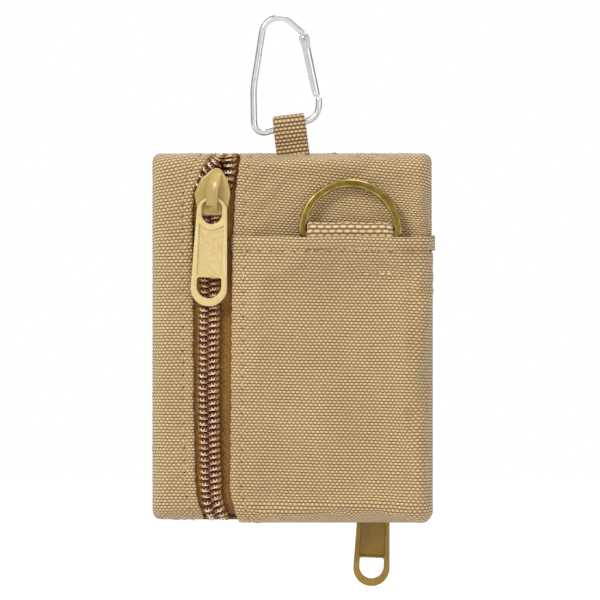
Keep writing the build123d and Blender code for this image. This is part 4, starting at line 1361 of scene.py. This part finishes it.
def bent(corners, radii, step=0.45):
    """A polygon line with each inner corner rounded, as points in X and Z."""
    c = [np.array(p, float) for p in corners]
    line = [c[0]]
    for k in range(1, len(c) - 1):
        a, b_ = c[k - 1] - c[k], c[k + 1] - c[k]
        a, b_ = a / np.linalg.norm(a), b_ / np.linalg.norm(b_)
        half = math.acos(np.clip(a @ b_, -1, 1)) / 2
        r = radii[k - 1]
        reach = r / math.tan(half)
        mid_dir = (a + b_) / np.linalg.norm(a + b_)
        centre = c[k] + mid_dir * r / math.sin(half)
        p, q = c[k] + a * reach - centre, c[k] + b_ * reach - centre
        sweep = math.atan2(p[0] * q[1] - p[1] * q[0], p @ q)
        for f in np.linspace(0, 1, 26):
            w_ = sweep * f
            line.append(centre + [p[0] * math.cos(w_) - p[1] * math.sin(w_),
                                  p[0] * math.sin(w_) + p[1] * math.cos(w_)])
    return even(np.array(line + [c[-1]]), step)


slope = math.tan(math.radians(15.6))
on_wire = lambda x: (x, wire_point[2] + (x - wire_point[0]) * slope)
gate_lean = math.radians(12.0)
down = np.array([math.sin(gate_lean), -math.cos(gate_lean)])
gate_xz = gate_at[[0, 2]]
foot = gate_xz - down * 2.1 - [0.3, 0]
nose = gate_xz + down * 20.4 + [0.75, -0.05]
wire_line = bent([foot, (-4.15, 5.95), (-8.8, -23.8), on_wire(-8.5), on_wire(13.4), nose],
                 [5.8, 30.0, 3.4, 5.4])
wire3 = np.stack([wire_line[:, 0], 0 * wire_line[:, 0], wire_line[:, 1]], 1)
ends = np.minimum(np.arange(len(wire3)), np.arange(len(wire3))[::-1]) * 0.45
taper = np.sqrt(np.clip(1 - (1 - np.clip(ends / 0.5, 0, 1)) ** 2, 0.35, 1))
wire_points, wire_faces = rod(wire3, taper[:, None, None] * ring_section(WIRE / 2, 20)[None])


def in_gate(points):
    """From gate places, with Z up the gate, to the frame."""
    p = np.asarray(points, float)
    return np.stack([gate_at[0] + p[:, 0] * math.cos(gate_lean) - p[:, 2] * math.sin(gate_lean), p[:, 1],
                     gate_at[2] + p[:, 0] * math.sin(gate_lean) + p[:, 2] * math.cos(gate_lean)], 1)


def plate_of(outline, half, rim=0.1):
    o, d = outline
    points, faces = pressed(o, d, [(rim, 1, -half), (0, 1, rim - half), (0, 1, half - rim), (rim, 1, half)])
    return in_gate(points), faces


tab = plate_of(hull_of([(0, 0, 1.45), (-0.55, 2.5, 0.35), (0.55, 2.5, 0.35)], 0.25), 0.5)
tongue = plate_of(hull_of([(0.45, -19.4, 0.42), (0.45, -21.8, 0.42)], 0.25), 0.45)
hook_points, hook_faces = joined([(wire_points, wire_faces), tab, tongue])
hook_wire = new_piece("hook_wire", hook_points, hook_faces, aluminium.material, sharp=50)


def gate_shapes():
    zs = np.array([0.9, 0.2, -1.0, -2.2, -3.3, -6.0, -12.0, -17.5, -19.4, -19.9, -20.15])
    across = np.array([1.30, 1.42, 1.42, 1.38, 1.35, 1.33, 1.28, 1.23, 1.21, 1.12, 0.80])
    line = np.stack([0 * zs, 0 * zs, zs], 1)
    main = rod(line[3:], across[3:, None, None] * ring_section(1.0, 24)[None])
    cheeks = []
    for side in (-1, 1):
        o, d = hull_of([(0, 0, 1.75), (-1.0, -3.4, 0.36), (1.0, -3.4, 0.36)], 0.25)
        points, faces = pressed(o, d, [(0.1, 1, side * 0.56), (0, 1, side * 0.66), (0, 1, side * 1.2),
                                       (0.14, 1, side * 1.36)])
        cheeks.append((points, faces))
    points, faces = joined([(main[0], main[1])] + cheeks)
    return in_gate(points), faces


gate_points, gate_faces = gate_shapes()
gate_rod = new_piece("hook_gate", gate_points, gate_faces, aluminium.material, sharp=45)
rivet_parts = []
for side in (-1, 1):
    line = np.array([(0, side * k, 0) for k in (1.30, 1.42, 1.56, 1.66, 1.70)])
    rivet_parts.append(rod(line, np.array([1.12, 1.15, 1.0, 0.62, 0.15])[:, None,
                                                                         None]
                           * ring_section(1.0, 18)[None], normal=(1, 0, 0)))
rivet_parts.append(rod([(0, -1.35, 0), (0, 1.35, 0)], ring_section(0.8, 14), normal=(1, 0, 0)))
rp, rf = joined(rivet_parts)
rivet = new_piece("hook_rivet", in_gate(rp), rf, steel.material, sharp=50)
print("hook wire", round(float(np.linalg.norm(np.diff(wire3, axis=0), axis=1).sum()), 1), "mm long")

# %% [markdown]
# Pieces that carry the pouch's seams inside stay as the model has them, with cloth finishes.
# Every visual piece then joins its body and hides the model's nodes that it stands for.

# %% Bodies, stand-ins and finishes
for node, finish in (("divider", lining), ("seam_binding", binding), ("gate_spring", steel),
                     ("gate_plunger", steel)):
    cad = frame["nodes"][node]
    cad.data.materials.clear()
    cad.data.materials.append(finish.material)
    if node in ("divider", "seam_binding"):
        # the model's pieces have no cloth UV, so their weave reads places across and up
        copy = finish.material.copy()
        copy.name = finish.material.name + "_flat"
        tree = copy.node_tree
        for n in [n for n in tree.nodes if n.type == "UVMAP"]:
            place = tree.nodes.new("ShaderNodeTexCoord")
            turned = tree.nodes.new("ShaderNodeMapping")
            turned.inputs["Rotation"].default_value = (math.radians(90), 0, 0)
            tree.links.new(place.outputs["Object"], turned.inputs["Vector"])
            for link in list(n.outputs[0].links):
                tree.links.new(turned.outputs[0], link.to_socket)
            tree.nodes.remove(n)
        cad.data.materials[0] = copy


def fit(piece, body, slot, *nodes):
    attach(piece, body)
    if nodes:
        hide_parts(*nodes)


for piece, nodes in ((front_strip, ("front_strip",)), (front_panel, ("front_panel",)),
                     (slip_pocket, ("slip_pocket",)),
                     (back_strip, ("back_strip",)), (back_panel, ("back_panel",))):
    fit(piece, "pouch", "khaki_canvas", *nodes)
for f in ("front", "back"):
    for side in ("left", "right"):
        # the back zip is the front one turned end for end, so its left row is on the right
        other = side if f == "front" else {"left": "right", "right": "left"}[side]
        fit(tapes[f, side], "pouch", "zip_tape", f"{f}_zip_tape_{other}")
        fit(coils[f, side], "pouch", "zip_coil", f"{f}_zip_coil_{other}")
        fit(cores[f, side], "pouch", "zip_coil")
        fit(sewing[f, side], "pouch", "zip_tape")
        fit(bound[f, side], "pouch", "zip_tape")
        if side == "right":
            fit(painted_gap_shades[f], "pouch", "zip_tape")
fit(front_stitches, "pouch", "khaki_canvas")
fit(back_stitches, "pouch", "khaki_canvas")
fit(front_hole_shades, "pouch", "khaki_canvas")
fit(keeper, "pouch", "khaki_webbing", "d_ring_keeper")
fit(hang_loop, "pouch", "khaki_webbing", "hang_loop")
fit(front_slider, "front_slider", "pale_enamel", "front_slider")
fit(front_pull, "front_pull", "pale_enamel", "front_pull")
fit(back_slider, "back_slider", "olive_enamel", "back_slider")
fit(back_pull, "back_pull", "olive_enamel", "back_pull")
fit(d_ring, "d_ring", "antique_brass", "d_ring")
fit(hook_wire, "hook", "hook_aluminium", "carabiner_frame")
fit(rivet, "hook", "steel", "gate_rivet")
fit(gate_rod, "gate", "hook_aluminium", "gate")
for name in ["coil_turn_-1", "coil_turn_1", "stitch_long", "needle_hole"] + [
        f"{word}_{side}_{turned}" for word in ("sewing", "binding") for side in (-1,
                                                                                 1) for turned in (-1, 1)] + ["gap_-1", "gap_1"]:
    spare = bpy.data.objects.get(name)
    if spare:
        bpy.data.objects.remove(spare)

# %% [markdown]
# A plain pale stage: a wide floor below the pouch, a bright even world, one broad key light
# from the upper left, a weaker fill, a soft top light and one behind for the edges. The
# camera looks straight at the front with a long lens, as for a catalogue.

# %% Stage, lights and camera
floor_points = [(math.cos(a) * 4000, math.sin(a) * 4000,
                 bottom - 60) for a in np.linspace(0, 2 * np.pi, 65)[:-1]]
paper = Finish("pale_floor", Roughness=0.9, Specular_IOR_Level=0.1)
paper.colour((0.80, 0.80, 0.80, 1.0))
paper.shader.inputs["Emission Color"].default_value = (1, 1, 1, 1)
paper.set(paper.shader.inputs["Emission Strength"],
          paper.sum("MULTIPLY", paper.node("ShaderNodeLightPath"), 0.50))
floor = new_piece("floor", floor_points, [tuple(range(64))], paper.material, smooth=False)

world = bpy.data.worlds.new("studio")
bpy.context.scene.world = world
world.use_nodes = True
wn, wl = world.node_tree.nodes, world.node_tree.links
back_node = wn["Background"]
seen, lit_ = wn.new("ShaderNodeBackground"), back_node
seen.inputs[0].default_value, seen.inputs[1].default_value = (1, 1, 1, 1), 1.0
where, split, shade = wn.new("ShaderNodeTexCoord"), wn.new("ShaderNodeSeparateXYZ"), wn.new("ShaderNodeMapRange")
wl.new(where.outputs["Generated"], split.inputs[0])
wl.new(split.outputs[2], shade.inputs[0])
shade.inputs[1].default_value, shade.inputs[2].default_value = -1.0, 1.0
shade.inputs[3].default_value, shade.inputs[4].default_value = 0.40, 0.72
lit_.inputs[0].default_value = (1, 1, 1, 1)
# reflections see a bright front and a darker back, which draws the edges of the bright metal
ray, blend_ = wn.new("ShaderNodeLightPath"), wn.new("ShaderNodeMixShader")
deep, strength = wn.new("ShaderNodeMapRange"), wn.new("ShaderNodeMix")
wl.new(split.outputs[1], deep.inputs[0])
for k, value in ((1, -0.7), (2, 0.9), (3, 0.78), (4, 0.10)):
    deep.inputs[k].default_value = value
wl.new(ray.outputs["Is Glossy Ray"], strength.inputs[0])
wl.new(shade.outputs[0], strength.inputs[2])
wl.new(deep.outputs[0], strength.inputs[3])
wl.new(strength.outputs[0], lit_.inputs[1])
wl.new(ray.outputs["Is Camera Ray"], blend_.inputs[0])
wl.new(lit_.outputs[0], blend_.inputs[1])
wl.new(seen.outputs[0], blend_.inputs[2])
wl.new(blend_.outputs[0], wn["World Output"].inputs[0])


def area_light(name, place, target, size, power):
    lamp = bpy.data.lights.new(name, "AREA")
    lamp.shape, lamp.size, lamp.energy = "DISK", size, power
    made = bpy.data.objects.new(name, lamp)
    bpy.context.scene.collection.objects.link(made)
    made.location = place
    made.rotation_euler = (Vector(target) - Vector(place)).to_track_quat("-Z", "Y").to_euler()
    return made


aim = (0.0, 0.0, -0.09)
area_light("key_light", (-0.75, -0.95, 0.75), aim, 0.45, 11.0)
area_light("fill_light", (0.95, -0.9, 0.15), aim, 0.7, 1.5)
area_light("top_light", (0.1, 0.15, 1.1), aim, 0.6, 3.0)
area_light("back_light", (0.2, 1.1, 0.5), aim, 0.7, 5.0)

VIEW_WIDTH, LENS = 0.204, 560.0
camera = bpy.data.objects.new("camera", bpy.data.cameras.new("camera"))
bpy.context.scene.collection.objects.link(camera)
camera.data.lens, camera.data.sensor_width = LENS, 36.0
camera.location = (0.0071, -face * MM - VIEW_WIDTH * LENS / 36.0, -0.0959)
camera.rotation_euler = (math.radians(90), 0, 0)
camera.data.clip_start, camera.data.clip_end = 0.05, 20.0
bpy.context.scene.camera = camera
scene = bpy.context.scene
scene.view_settings.view_transform, scene.view_settings.look = "Standard", "None"
